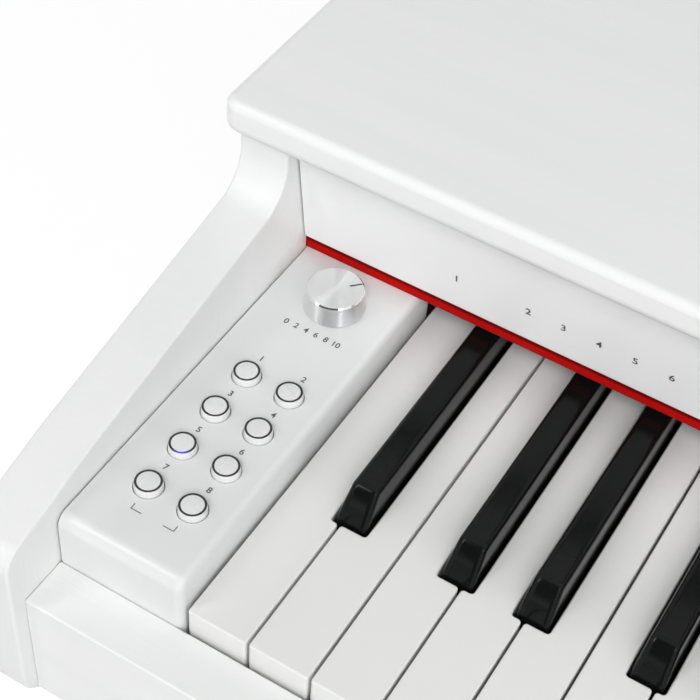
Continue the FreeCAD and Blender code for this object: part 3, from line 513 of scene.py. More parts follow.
class Mixed(Enum):
    """What a Mix node mixes: its data type, the places of its two inputs and of its output."""

    COLOUR = ("RGBA", 6, 7, 2)
    VECTOR = ("VECTOR", 4, 5, 1)


class Nodes:
    """Adds and joins the nodes of one tree."""

    def __init__(self, tree: bpy.types.NodeTree) -> None:
        """Empty a tree and start on it."""
        self.tree = tree
        tree.nodes.clear()

    def add(self, kind: str, settings: dict[str, object] | None = None,
            **inputs: object) -> bpy.types.Node:
        """Add a node.

        Args:
            kind: the node's type.
            settings: its properties.
            inputs: a value or an output for each input, by name with _ for a space.

        Returns:
            The node.
        """
        node = self.tree.nodes.new(kind)
        for key, setting in (settings or {}).items():
            setattr(node, key, setting)
        for key, given in inputs.items():
            self.feed(node, key.replace("_", " "), given)
        return node

    def feed(self, node: bpy.types.Node, socket: str | int, given: object) -> None:
        """Join an output to an input, or set the input's value.

        Args:
            node: the node that is fed.
            socket: the input's name or place.
            given: another node's output, or a plain value.
        """
        if isinstance(given, bpy.types.NodeSocket):
            self.tree.links.new(given, node.inputs[socket])
        else:
            node.inputs[socket].default_value = given

    def fade(self, value: bpy.types.NodeSocket, start: float, end: float,
             low: float | bpy.types.NodeSocket = 0.0,
             high: float | bpy.types.NodeSocket = 1.0) -> bpy.types.NodeSocket:
        """Spread a value's range over another range.

        Args:
            value: what to spread.
            start: the value that gives the low end.
            end: the value that gives the high end.
            low: the new range's low end.
            high: the new range's high end.

        Returns:
            The spread value.
        """
        node = self.add("ShaderNodeMapRange", Value=value, From_Min=start, From_Max=end,
                        To_Min=low, To_Max=high)
        return node.outputs["Result"]

    def blend(self, amount: object, first: object, second: object,
              mixed: Mixed = Mixed.COLOUR) -> bpy.types.NodeSocket:
        """Mix two colours or two vectors.

        Args:
            amount: how much of the second to take.
            first: what an amount of nought gives.
            second: what an amount of one gives.
            mixed: whether they are colours or vectors.

        Returns:
            The mixture.
        """
        kind, first_place, second_place, result = mixed.value
        node = self.add("ShaderNodeMix", {"data_type": kind})
        for socket, given in ((0, amount), (first_place, first), (second_place, second)):
            self.feed(node, socket, given)
        return node.outputs[result]

    def reckon(self, operation: str, first: object, second: object,
               clamp: bool = False) -> bpy.types.NodeSocket:
        """Work out a sum or a product.

        Args:
            operation: ADD or MULTIPLY.
            first: the first number.
            second: the second number.
            clamp: whether the result is held between nought and one.

        Returns:
            The result.
        """
        node = self.add("ShaderNodeMath", {"operation": operation, "use_clamp": clamp})
        self.feed(node, 0, first)
        self.feed(node, 1, second)
        return node.outputs[0]

    def measure(self, operation: str, *vectors: object) -> bpy.types.NodeSocket:
        """Work out a vector's length, or how far one runs along another.

        Args:
            operation: LENGTH or DOT_PRODUCT.
            vectors: one vector or two.

        Returns:
            The result.
        """
        node = self.add("ShaderNodeVectorMath", {"operation": operation})
        for socket, given in enumerate(vectors):
            self.feed(node, socket, given)
        return node.outputs["Value"]


class GroupNodes(Nodes):
    """The nodes of a group, between what it takes and what it puts out."""

    def __init__(self, tree: bpy.types.NodeTree, takes: dict[str, str], gives: dict[str, str]) -> None:
        """Give a group its inputs and outputs.

        Args:
            tree: the empty group.
            takes: the kind of each input by name.
            gives: the kind of each output by name.
        """
        super().__init__(tree)
        for names, way in ((takes, "INPUT"), (gives, "OUTPUT")):
            for name, kind in names.items():
                tree.interface.new_socket(name=name, in_out=way, socket_type=f"NodeSocket{kind}")
        self.given = tree.nodes.new("NodeGroupInput").outputs
        self.wanted = tree.nodes.new("NodeGroupOutput")

    def put(self, name: str, value: bpy.types.NodeSocket) -> None:
        """Put a value out of the group."""
        self.feed(self.wanted, name, value)


def build_clouds(tree: bpy.types.NodeTree) -> None:
    """Colour that drifts softly between a tone and a shade.

    Args:
        tree: the empty group.
    """
    nodes = GroupNodes(tree, {"Vector": "Vector", "Tone": "Color", "Shade": "Color", "Scale": "Float"},
                       {"Colour": "Color"})
    given = nodes.given
    noise = nodes.add("ShaderNodeTexNoise", Vector=given["Vector"], Scale=given["Scale"], Detail=3.0,
                      Roughness=0.55)
    mask = nodes.fade(noise.outputs[0], NOISE_LOW, NOISE_HIGH)
    nodes.put("Colour", nodes.blend(mask, given["Tone"], given["Shade"]))


def build_skin(tree: bpy.types.NodeTree) -> None:
    """Fine relief of moulded plastic or paint, with a gloss that wanders.

    Args:
        tree: the empty group.
    """
    nodes = GroupNodes(tree, {"Vector": "Vector", "Scale": "Float", "Smooth": "Float", "Rough": "Float"},
                       {"Roughness": "Float", "Height": "Float"})
    given = nodes.given
    fine = nodes.add("ShaderNodeTexNoise", Vector=given["Vector"], Scale=given["Scale"], Detail=4.0)
    broad = nodes.add("ShaderNodeTexNoise", Vector=given["Vector"], Detail=2.0,
                      Scale=nodes.reckon("MULTIPLY", given["Scale"], BROAD_GLOSS))
    nodes.put("Roughness", nodes.fade(broad.outputs[0], NOISE_LOW, NOISE_HIGH, given["Smooth"],
                                      given["Rough"]))
    nodes.put("Height", fine.outputs[0])


def build_grain(tree: bpy.types.NodeTree) -> None:
    """Long shallow wood pores pressed into a white foil, with paler and darker streaks.

    Args:
        tree: the empty group.
    """
    nodes = GroupNodes(tree, {"Vector": "Vector", "Tone": "Color", "Shade": "Color"},
                       {"Colour": "Color", "Height": "Float"})
    given = nodes.given
    warp = nodes.add("ShaderNodeTexNoise", Vector=given["Vector"], Scale=3.0, Detail=1.0)
    bent = nodes.blend(0.02, given["Vector"], warp.outputs[1], Mixed.VECTOR)
    pores = nodes.add("ShaderNodeTexNoise", Vector=bent, Scale=45.0, Detail=5.0, Roughness=0.65)
    streaks = nodes.add("ShaderNodeTexNoise", Vector=bent, Scale=9.0, Detail=3.0)
    mask = nodes.fade(streaks.outputs[0], NOISE_LOW, NOISE_HIGH)
    nodes.put("Colour", nodes.blend(mask, given["Tone"], given["Shade"]))
    nodes.put("Height", nodes.fade(pores.outputs[0], 0.42, 0.62))


def build_fibres(tree: bpy.types.NodeTree) -> None:
    """Matted fibres: a tangle of short hairs, light on top and dark between.

    Args:
        tree: the empty group.
    """
    nodes = GroupNodes(tree, {"Vector": "Vector", "Tone": "Color", "Shade": "Color", "Scale": "Float"},
                       {"Colour": "Color", "Height": "Float"})
    given = nodes.given
    tangle = nodes.add("ShaderNodeTexNoise", Vector=given["Vector"], Scale=given["Scale"], Detail=6.0,
                       Roughness=0.7, Distortion=2.5)
    hairs = nodes.fade(tangle.outputs[0], 0.35, 0.65)
    nodes.put("Colour", nodes.blend(hairs, given["Shade"], given["Tone"]))
    nodes.put("Height", hairs)


def build_lathe(tree: bpy.types.NodeTree) -> None:
    """Fine rings about an upright axis, as a turning tool leaves them.

    Args:
        tree: the empty group.
    """
    nodes = GroupNodes(tree, {"Vector": "Vector", "Scale": "Float", "Smooth": "Float", "Rough": "Float"},
                       {"Roughness": "Float", "Height": "Float"})
    given = nodes.given
    rings = nodes.add("ShaderNodeTexWave", {"wave_type": "RINGS", "rings_direction": "Z"},
                      Vector=given["Vector"], Scale=given["Scale"], Distortion=0.6, Detail=2.0)
    nodes.put("Roughness", nodes.fade(rings.outputs[1], 0.0, 1.0, given["Smooth"], given["Rough"]))
    nodes.put("Height", rings.outputs[1])


def build_tracks(tree: bpy.types.NodeTree) -> None:
    """Copper tracks under green lacquer.

    Args:
        tree: the empty group.
    """
    nodes = GroupNodes(tree, {"Vector": "Vector", "Tone": "Color", "Shade": "Color"},
                       {"Colour": "Color", "Height": "Float"})
    given = nodes.given
    bricks = nodes.add("ShaderNodeTexBrick", {"offset": 0.35, "squash": 1.4}, Vector=given["Vector"],
                       Scale=90.0, Mortar_Size=0.03, Mortar_Smooth=0.2)
    nodes.put("Colour", nodes.blend(bricks.outputs[1], given["Tone"], given["Shade"]))
    nodes.put("Height", bricks.outputs[1])


class Effect(Enum):
    """The surface effects that finishes share, each with its group's name and builder."""

    CLOUDS = ("drifting tone", build_clouds)
    SKIN = ("fine moulded skin", build_skin)
    GRAIN = ("pressed board grain", build_grain)
    FIBRES = ("felt fibres", build_fibres)
    LATHE = ("lathe rings", build_lathe)
    TRACKS = ("circuit tracks", build_tracks)

    def group(self) -> bpy.types.NodeTree:
        """The effect's node group, built the first time it is asked for.

        Returns:
            The group.
        """
        name, build = self.value
        if name not in bpy.data.node_groups:
            build(bpy.data.node_groups.new(name, "ShaderNodeTree"))
        return bpy.data.node_groups[name]


class Coat(Nodes):
    """The nodes of one material, with its shader and the place of each point of its surface."""

    def __init__(self, material: bpy.types.Material, stretch: Spot, centre: Spot) -> None:
        """Start a coat that keeps to the surface's own coordinates.

        Args:
            material: the new material.
            stretch: how much finer its patterns are along each axis.
            centre: the point that its patterns spread from.
        """
        material.use_nodes = True
        super().__init__(material.node_tree)
        self.shader = self.add("ShaderNodeBsdfPrincipled")
        self.feed(self.add("ShaderNodeOutputMaterial"), 0, self.shader.outputs[0])
        place = self.add("ShaderNodeTexCoord").outputs["Object"]
        offset = [-part * scale for part, scale in zip(centre, stretch)]
        mapping = self.add("ShaderNodeMapping", Vector=place, Scale=stretch, Location=offset)
        self.place = mapping.outputs[0]

    def effect(self, effect: Effect, **inputs: object) -> bpy.types.Node:
        """Place one of the shared effects."""
        return self.add("ShaderNodeGroup", {"node_tree": effect.group()}, Vector=self.place, **inputs)

    def finish(self, **inputs: object) -> None:
        """Feed the shader's inputs, each by name with _ for a space."""
        for key, given in inputs.items():
            self.feed(self.shader, key.replace("_", " "), given)

    def emboss(self, height: bpy.types.NodeSocket, depth: float) -> None:
        """Turn a height into relief of a depth."""
        bump = self.add("ShaderNodeBump", Height=height, Distance=depth, Strength=1.0)
        self.finish(Normal=bump.outputs[0])


@dataclass(frozen=True)
class Finish:
    """What every finish has: two tones, a gloss that wanders and a fine relief."""

    name: str
    tone: Tone
    shade: Tone
    smooth: float = 0.4
    rough: float = 0.5
    patch: float = 6.0
    skin: float = 1800.0
    relief: float = 0.00002
    stretch: Spot = (1.0, 1.0, 1.0)
    centre: Spot = (0.0, 0.0, 0.0)
    sockets: tuple[tuple[str, object], ...] = ()

    def material(self) -> bpy.types.Material:
        """The finish as a material, made the first time it is asked for.

        Returns:
            The material.
        """
        made = bpy.data.materials.get(self.name)
        if made is None:
            made = bpy.data.materials.new(self.name)
            made.diffuse_color = (*self.tone, 1)
            coat = Coat(made, self.stretch, self.centre)
            self.paint(coat)
            for socket, setting in self.sockets:
                coat.feed(coat.shader, socket, setting)
        return made

    def tinted(self, coat: Coat, effect: Effect, **inputs: object) -> bpy.types.Node:
        """An effect that runs between the finish's two tones."""
        return coat.effect(effect, Tone=(*self.tone, 1), Shade=(*self.shade, 1), **inputs)

    def polished(self, coat: Coat, effect: Effect) -> bpy.types.Node:
        """An effect with the finish's own fineness and range of gloss."""
        return coat.effect(effect, Scale=self.skin, Smooth=self.smooth, Rough=self.rough)

    def paint(self, coat: Coat) -> None:
        """Drifting tone over a fine skin.

        Args:
            coat: the nodes of the material to paint.
        """
        clouds = self.tinted(coat, Effect.CLOUDS, Scale=self.patch)
        skin = self.polished(coat, Effect.SKIN)
        coat.finish(Base_Color=clouds.outputs["Colour"], Roughness=skin.outputs["Roughness"])
        coat.emboss(skin.outputs["Height"], self.relief)


@dataclass(frozen=True)
class BoardFinish(Finish):
    """White foil over board, with shallow pores that run one way."""

    relief: float = 0.00003

    def paint(self, coat: Coat) -> None:
        """Streaks for the colour, and pores for the gloss and the relief.

        Args:
            coat: the nodes of the material to paint.
        """
        grain = self.tinted(coat, Effect.GRAIN)
        pores = grain.outputs["Height"]
        coat.finish(Base_Color=grain.outputs["Colour"],
                    Roughness=coat.fade(pores, 0.0, 1.0, self.rough, self.smooth))
        coat.emboss(pores, self.relief)


@dataclass(frozen=True)
class FeltFinish(Finish):
    """Pressed wool felt, which may be painted darker above a height: a painted shadow where the fascia's
    foot shades it.
    """

    crease: float = 10.0
    crease_soft: float = 0.0012
    deep: Tone = (0.16, 0.002, 0.002)

    def paint(self, coat: Coat) -> None:
        """A tangle of fibres for colour and relief, with a painted shadow: a darker tone blended in above a
        height.

        Args:
            coat: the nodes of the material to paint.
        """
        fibres = self.tinted(coat, Effect.FIBRES, Scale=self.skin)
        height = coat.add("ShaderNodeSeparateXYZ", Vector=coat.place).outputs["Z"]
        # painted shadow: above this height the felt's colour fades to a dark tone that stands in for the
        # fascia's shade
        crease = coat.fade(height, self.crease, self.crease + self.crease_soft)
        coat.finish(Base_Color=coat.blend(crease, fibres.outputs["Colour"], (*self.deep, 1)))
        coat.emboss(fibres.outputs["Height"], self.relief)


@dataclass(frozen=True)
class LatheFinish(Finish):
    """Metal with turning rings about an upright axis through its centre."""

    def paint(self, coat: Coat) -> None:
        """Drifting tone under fine rings, with a shine that is drawn out around them.

        Args:
            coat: the nodes of the material to paint.
        """
        clouds = self.tinted(coat, Effect.CLOUDS, Scale=self.patch)
        rings = self.polished(coat, Effect.LATHE)
        around = coat.add("ShaderNodeTangent", {"direction_type": "RADIAL", "axis": "Z"})
        coat.finish(Base_Color=clouds.outputs["Colour"], Roughness=rings.outputs["Roughness"],
                    Tangent=around.outputs[0])
        coat.emboss(rings.outputs["Height"], self.relief)


@dataclass(frozen=True)
class CircuitFinish(Finish):
    """A lacquered circuit board."""

    def paint(self, coat: Coat) -> None:
        """Tracks for colour and relief, under an even lacquer.

        Args:
            coat: the nodes of the material to paint.
        """
        tracks = self.tinted(coat, Effect.TRACKS)
        skin = self.polished(coat, Effect.SKIN)
        coat.finish(Base_Color=tracks.outputs["Colour"], Roughness=skin.outputs["Roughness"])
        coat.emboss(tracks.outputs["Height"], self.relief)


@dataclass(frozen=True)
class LampFinish(Finish):
    """Dark glass with a lamp behind the part of it that faces the player."""

    glow: Tone = (0.05, 0.07, 1.0)
    strength: float = 0.9
    full: float = 0.00105
    reach: float = 0.0030

    def paint(self, coat: Coat) -> None:
        """The plain finish, with a glow that fades away from its centre.

        Args:
            coat: the nodes of the material to paint.
        """
        super().paint(coat)
        mask = coat.fade(coat.measure("LENGTH", coat.place), self.full, self.reach, 1.0, 0.0)
        coat.finish(Emission_Color=coat.blend(mask, (0, 0, 0, 1), (*self.glow, 1)),
                    Emission_Strength=self.strength)


METAL = (("Metallic", 1.0),)
GRAIN_ACROSS = (0.35, 5.0, 5.0)
GRAIN_UP = (5.0, 5.0, 0.35)
FELT_TOP = Box.of("felt_strip").high.z
KNOB_AXIS = (-0.6358, -0.0574, 0.0)

WHITE_BOARD = BoardFinish("white board", (0.865, 0.87, 0.865), (0.83, 0.84, 0.835), 0.32, 0.46,
                          stretch=GRAIN_ACROSS)
# painted light: the fascia is the same white foil as the other boards, given a brighter tone to stand in
# for light that the lamps don't bring under the top board
WHITE_FASCIA_PAINTED_LIGHT = BoardFinish("white fascia painted light", (0.93, 0.93, 0.93), (0.91, 0.915, 0.915), 0.32, 0.46,
                           stretch=GRAIN_ACROSS)
WHITE_UPRIGHT = BoardFinish("white board upright", (0.825, 0.83, 0.825), (0.795, 0.805, 0.80), 0.32, 0.46,
                            stretch=GRAIN_UP)
REST_BOARD = BoardFinish("music rest board", (0.80, 0.80, 0.795), (0.765, 0.77, 0.765), 0.3, 0.42,
                         stretch=GRAIN_ACROSS)
PANEL = Finish("control block plastic", (0.775, 0.785, 0.785), (0.75, 0.76, 0.76), 0.2, 0.27, patch=14,
               skin=2600, relief=0.000008)
BUTTON = Finish("button plastic", (0.79, 0.79, 0.79), (0.76, 0.76, 0.765), 0.22, 0.34, patch=120,
                skin=4000, relief=0.000006)
WHITE_KEY = Finish("white key", (0.82, 0.82, 0.81), (0.805, 0.805, 0.797), 0.24, 0.27, patch=9,
                   skin=900, relief=0.000002)
BLACK_KEY = Finish("black key", (0.0038, 0.0042, 0.0043), (0.0052, 0.0056, 0.0055), 0.13, 0.17, patch=40,
                   skin=3200, relief=0.000002, sockets=(("Specular IOR Level", 0.16),))
# The red felt's top few millimetres are painted darker: a painted shadow under the fascia's foot.
RED_FELT = FeltFinish("red felt", (0.76, 0.0075, 0.0055), (0.50, 0.0045, 0.0035), skin=1500,
                      relief=0.0002, sockets=(("Roughness", 0.95), ("Specular IOR Level", 0.1)),
                      crease=FELT_TOP - 0.0033)
GREY_FELT = FeltFinish("grey felt", (0.30, 0.30, 0.29), (0.16, 0.16, 0.155), skin=1300,
                       relief=0.00025, sockets=(("Roughness", 0.95), ("Sheen Weight", 0.2)))
KNOB_SIDE = LatheFinish("spun aluminium side", (0.92, 0.92, 0.92), (0.87, 0.87, 0.88), 0.34, 0.38,
                        patch=60, skin=900, relief=0.000002, centre=KNOB_AXIS,
                        sockets=(*METAL, ("Anisotropic", 1.0), ("Anisotropic Rotation", 0.25)))
KNOB_FACE = LatheFinish("spun aluminium face", (0.95, 0.95, 0.95), (0.91, 0.91, 0.92), 0.5, 0.6,
                        patch=60, skin=900, relief=0.000002, centre=KNOB_AXIS,
                        sockets=(*METAL, ("Anisotropic", 0.75), ("Anisotropic Rotation", 0.25)))
CUT_EDGE = Finish("cut aluminium edge", (0.9, 0.9, 0.9), (0.86, 0.86, 0.87), 0.05, 0.08, patch=90,
                  skin=900, relief=0.0000005, sockets=METAL)
RING = Finish("button ring", (0.012, 0.012, 0.013), (0.02, 0.02, 0.021), 0.28, 0.4, patch=300,
              skin=5000, relief=0.000006)
INK = Finish("printed ink", (0.055, 0.056, 0.058), (0.085, 0.086, 0.088), 0.45, 0.6, patch=900,
             skin=6000, relief=0.000004)
STEEL = Finish("bare steel", (0.56, 0.565, 0.57), (0.46, 0.465, 0.47), 0.28, 0.42, patch=90,
               skin=1600, relief=0.00001, stretch=(0.2, 1.0, 1.0), sockets=METAL)
BLACK_STEEL = Finish("black steel", (0.022, 0.022, 0.024), (0.034, 0.034, 0.036), 0.35, 0.5,
                     patch=40, skin=1500, relief=0.00003, sockets=(("Metallic", 0.4),))
PEDAL_METAL = Finish("pedal metal", (0.78, 0.77, 0.74), (0.70, 0.69, 0.66), 0.08, 0.17, patch=60,
                     skin=1400, relief=0.000006, stretch=(1.0, 0.2, 1.0), sockets=METAL)
RUBBER = Finish("black rubber", (0.02, 0.02, 0.02), (0.032, 0.032, 0.031), 0.62, 0.8, patch=60,
                skin=1800, relief=0.00004)
FRAME_PLASTIC = Finish("key frame plastic", (0.24, 0.19, 0.145), (0.19, 0.15, 0.115), 0.4, 0.55,
                       patch=14, skin=1600, relief=0.00002)
BLACK_PLASTIC = Finish("black plastic", (0.018, 0.018, 0.019), (0.027, 0.027, 0.028), 0.38, 0.52,
                       patch=40, skin=2000, relief=0.00003)
CIRCUIT = CircuitFinish("circuit board", (0.012, 0.10, 0.035), (0.03, 0.19, 0.07), 0.28, 0.4,
                        relief=0.00003)


# ---------------------------------------------------------------------------- the case


@dataclass
class Case:
    """The white boards that make up the cabinet, the felt behind the keys and the feet."""

    lid_top_round: float = 0.0035
    lid_low_round: float = 0.0085
    lid_corner: float = 0.006
    edge: float = 0.0012
    fine_edge: float = 0.0008
    fascia_thick: float = 0.012
    fascia_lean: float = 0.008
    fascia_gap: float = 0.0006
    ink: float = 0.00004
    voices: int = 16
    first_voice: float = 0.0653
    second_voice: float = 0.0941
    voice_pitch: float = 0.0138
    voice_up: float = 0.0165
    voice_size: float = 0.0034
    felt_round: float = 0.0008
    felt_cuts: int = 110
    felt_waves: tuple[int, ...] = (37, 48, 59)
    felt_crest: float = 0.55
    felt_dent: float = 0.00012
    glide_radius: float = 0.011
    glide_round: float = 0.001
    glide_washer: float = 0.006
    glide_side: float = 0.6
    glide_step: float = 0.75

    def build(self) -> None:
        """Make every board of the case."""
        self.side_boards()
        self.lid()
        self.fascia()
        self.felt()
        self.plain_boards()
        self.glides()

    def side_boards(self) -> None:
        """The two side boards, with eased edges."""
        for node in ("left_side_panel", "right_side_panel"):
            ease(node, "board", self.edge, WHITE_UPRIGHT, "white_board", segments=3)

    def lid(self) -> None:
        """The top board: a small round on its upper edge and a full one on its lower edge."""
        box = Box.of("top_board")
        piece = Workpiece.block("lid_board", box.low, box.high)
        piece.edges(lambda at, run: along(run.z) and at.y < box.middle.y)
        piece.bevel(self.lid_corner, segments=4)
        for level, radius in ((box.low.z, self.lid_low_round), (box.high.z, self.lid_top_round)):
            piece.edges(lambda at, run: near(at.z, level) and at.y < box.high.y - HAIR)
            piece.bevel(radius, segments=8)
        dress(piece.off_bench(), WHITE_BOARD, "cabinet", "white_board", ("top_board",))

    def fascia(self) -> None:
        """The leaning panel behind the keys, a hair short of the side boards, in a brighter copy of the
        board's white: painted light.
        """
        box = Box.of("fascia_panel")
        foot = box.low.y + self.fascia_lean
        corners = [Corner(foot, box.low.z, self.edge),
                   Corner(foot + self.fascia_thick, box.low.z),
                   Corner(foot + self.fascia_thick - self.fascia_lean, box.high.z),
                   Corner(foot - self.fascia_lean, box.high.z)]
        span = (box.low.x + self.fascia_gap, box.high.x - self.fascia_gap)
        self.voice_numbers(foot, box)
        piece = Workpiece.board("fascia_board", Plane.YZ, span, corners)
        dress(piece.off_bench(), WHITE_FASCIA_PAINTED_LIGHT, "cabinet", "white_board", ("fascia_panel",))

    def voice_numbers(self, foot: float, box: Box) -> None:
        """Plain numbers on the fascia, one for each voice that a key picks.

        Args:
            foot: how far back the fascia's face is at its foot.
            box: the fascia's box.
        """
        printing = Printing(0, self.ink)
        slope = self.fascia_lean / (box.high.z - box.low.z)
        back = foot - slope * self.voice_up - self.ink
        turn = Matrix.Rotation(SQUARE + math.atan(slope), 4, "X")
        places = [self.first_voice]
        places += [self.second_voice + self.voice_pitch * step for step in range(self.voices - 1)]
        for number, across in enumerate(places, 1):
            place = Matrix.Translation((box.low.x + across, back, box.low.z + self.voice_up))
            printing.write(f"voice_{number}", str(number), place @ turn, self.voice_size)

    def felt(self) -> None:
        """The strip of red felt under the fascia, a little uneven along its front."""
        box = Box.of("felt_strip")
        piece = Workpiece.block("felt_band", box.low, box.high)
        piece.edges(lambda at, run: along(run.x) and near(at.y, box.low.y)).bevel(self.felt_round)
        for step in range(1, self.felt_cuts):
            piece.bisect((box.low.x + (box.high.x - box.low.x) * step / self.felt_cuts, 0, 0), (1, 0, 0))
        bpy.ops.mesh.select_mode(type="VERT")
        for phase, wave in enumerate(self.felt_waves):
            piece.pick(Element.VERT, lambda at, _: at.y < box.low.y + HAIR
                       and math.sin(at.x * wave + phase) > self.felt_crest)
            piece.move((0, self.felt_dent, 0))
        dress(piece.off_bench(angle=60), RED_FELT, "cabinet", "red_felt", ("felt_strip",))

    def plain_boards(self) -> None:
        """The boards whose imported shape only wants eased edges."""
        for node in ("key_slip", "key_bed", "upper_back_panel", "lower_back_panel", "feet",
                     "pedal_rail"):
            ease(node, "board", self.fine_edge, WHITE_BOARD, "white_board")

    def glides(self) -> None:
        """Four rubber glides, each narrowing to a washer under the foot."""
        box = Box.of("floor_glides")
        radius = self.glide_radius
        small = radius - self.glide_round
        high = box.high.z - box.low.z
        side, step = high * self.glide_side, high * self.glide_step
        profile = [(0, 0), (small, 0), (radius, self.glide_round), (radius, side), (small, step),
                   (self.glide_washer, step), (self.glide_washer, high), (0, high)]
        for hand, x in (("left", box.low.x + radius), ("right", box.high.x - radius)):
            for end, y in (("front", box.low.y + radius), ("back", box.high.y - radius)):
                piece = Workpiece.turned(f"glide_{hand}_{end}", (x, y, box.low.z), profile, steps=32)
                dress(piece.off_bench(), RUBBER, "cabinet", "black_rubber", ("floor_glides",))


# ---------------------------------------------------------------------------- the keys


@dataclass
class Keyboard:
    """Eighty-eight keys, modelled once for each shape and copied along the row."""

    whites: int = 52
    gap: float = 0.001
    high: float = 0.020
    wall: float = 0.0025
    plan_round: float = 0.0012
    top_round: float = 0.0007
    notch_gap: float = 0.0012
    tail_gap: float = 0.00699
    tail_wide: float = 0.009
    tail_low: float = 0.725
    tail_top: float = 0.739
    white_back: float = 0.020
    pin_play: float = 0.00005
    black_foot: float = 0.012
    black_top: float = 0.010
    black_slope: float = 0.0088
    black_shoulder: float = 0.001
    black_round: float = 0.0024
    black_back: float = 0.0115
    pair_splay: float = 0.1
    three_splay: float = 1 / 7
    white_notes: tuple[tuple[str, int], ...] = (
        ("C", 0), ("D", 2), ("E", 4), ("F", 5), ("G", 7), ("A", 9), ("B", 11))
    black_notes: tuple[tuple[str, int], ...] = (("C", 1), ("D", 3), ("F", 6), ("G", 8), ("A", 10))
    octaves: int = 7
    semitones: int = 12

    def __post_init__(self) -> None:
        """Take the row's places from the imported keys."""
        lowest, highest = Box.of("keys_A"), Box.of("keys_C")
        black = Box.of("keys_C_sharp")
        felt = Box.of("felt_strip")
        rod = Box.of("key_pivot_rod")
        self.top = highest.high.z
        self.front = lowest.low.y
        self.back = felt.low.y + self.white_back
        self.tail_end = highest.high.y
        self.pitch = (highest.high.x - lowest.low.x + self.gap) / self.whites
        self.octave = len(self.white_notes) * self.pitch
        self.first_c = lowest.low.x - self.gap / 2 + 2 * self.pitch
        self.black_low, self.black_front, self.crest = black.low.z, black.low.y, black.high.z
        self.black_end = felt.low.y + self.black_back
        self.pin = rod.middle
        self.pin_radius = (rod.high.z - rod.low.z) / 2
        self.sharps = {"C": 1 - self.pair_splay, "D": 2 + self.pair_splay,
                       "F": 4 - self.three_splay, "G": 5, "A": 6 + self.three_splay}

    def build(self) -> None:
        """Every key in the row, which starts below the first C with an A, its sharp and a B."""
        whole = range(self.octaves)
        for step, (letter, semitone) in enumerate(self.white_notes):
            before = self.white_notes[step - 1][0]
            below = self.sharps.get(before) if step else None
            above = self.sharps.get(letter)
            octaves = (-1, *whole) if letter == "B" else whole
            self.row(letter, octaves, lambda name, at: self.white(name, at, step, semitone, below, above))
            if letter == "A":
                self.row(letter, (-1,), lambda name, at: self.white(name, at, step, semitone, None, above))
            if letter == "C":
                self.row(letter, (self.octaves,),
                         lambda name, at: self.white(name, at, step, semitone, None, None))
        for letter, semitone in self.black_notes:
            octaves = (-1, *whole) if letter == "A" else whole
            self.row(f"{letter}_sharp", octaves,
                     lambda name, at: self.black(name, at, self.sharps[letter], semitone))

    def row(self, note: str, octaves: Sequence[int],
            make: Callable[[str, int], bpy.types.Object]) -> None:
        """One key in every octave: the first is modelled and the rest are its copies.

        Args:
            note: the note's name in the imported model.
            octaves: which octaves have it, counted from the first C.
            make: models the key of a name in an octave.
        """
        finish, slot = (BLACK_KEY, "black_key") if "sharp" in note else (WHITE_KEY, "white_key")
        first = make(f"key_{note}_{octaves[0] + 1}", octaves[0])
        for octave in octaves:
            key = first
            if octave != octaves[0]:
                shift = Matrix.Translation(((octave - octaves[0]) * self.octave, 0, 0))
                key = moved_copy(first, f"key_{note}_{octave + 1}", shift)
            dress(key, finish, f"keys_{note}", slot, (f"keys_{note}",))

    def with_tail(self, piece: Workpiece, semitone: int, octave: int, start: float) -> Workpiece:
        """Weld the narrow rear end on and bore it for the rod.

        Args:
            piece: the front of the key.
            semitone: how many keys of any colour it is above its C.
            octave: which octave it is in.
            start: how far back its front ends.

        Returns:
            The whole key.
        """
        x = self.first_c + (octave + (semitone + 0.5) / self.semitones) * self.octave
        half = self.tail_wide / 2
        tail = Workpiece.block("tail", (x - half, start - self.wall, self.tail_low),
                               (x + half, self.tail_end, self.tail_top))
        tail.edges(lambda at, run: not along(run.y) and near(at.y, self.tail_end))
        tail.bevel(self.top_round, segments=2)
        piece.shape_with(tail, "UNION")
        bore = Workpiece.bar("bore", (x, self.pin.y, self.pin.z), self.pin_radius + self.pin_play,
                             2 * self.tail_wide, "X", sides=20)
        return piece.shape_with(bore)

    def white(self, name: str, octave: int, step: int, semitone: int, below: float | None,
              above: float | None) -> bpy.types.Object:
        """A white key, notched where black keys stand beside it.

        Args:
            name: the key's name.
            octave: which octave it is in.
            step: how many white keys it is above its C.
            semitone: how many keys of any colour it is above its C.
            below: where the black key on its left is centred, in white keys from C.
            above: the same on its right.

        Returns:
            The finished key.
        """
        origin = self.first_c + octave * self.octave
        low = origin + step * self.pitch + self.gap / 2
        high = low + self.pitch - self.gap
        notch = self.black_front - self.notch_gap
        small = self.plan_round
        corners = [Corner(low, self.front, small), Corner(high, self.front, small)]
        right, left = high, low
        if above is not None:
            right = origin + above * self.pitch - self.tail_gap
            corners += [Corner(high, notch, small), Corner(right, notch, small)]
        if below is not None:
            left = origin + below * self.pitch + self.tail_gap
        corners += [Corner(right, self.back), Corner(left, self.back)]
        if below is not None:
            corners += [Corner(left, notch, small), Corner(low, notch, small)]
        piece = Workpiece.board(name, Plane.XY, (self.top - self.high, self.top), corners)
        piece.edges(lambda at, run: near(at.z, self.top)).bevel(self.top_round)
        piece.faces((0, 0, -1)).inset(self.wall).extrude((0, 0, self.high - self.wall))
        return self.with_tail(piece, semitone, octave, self.back).off_bench()

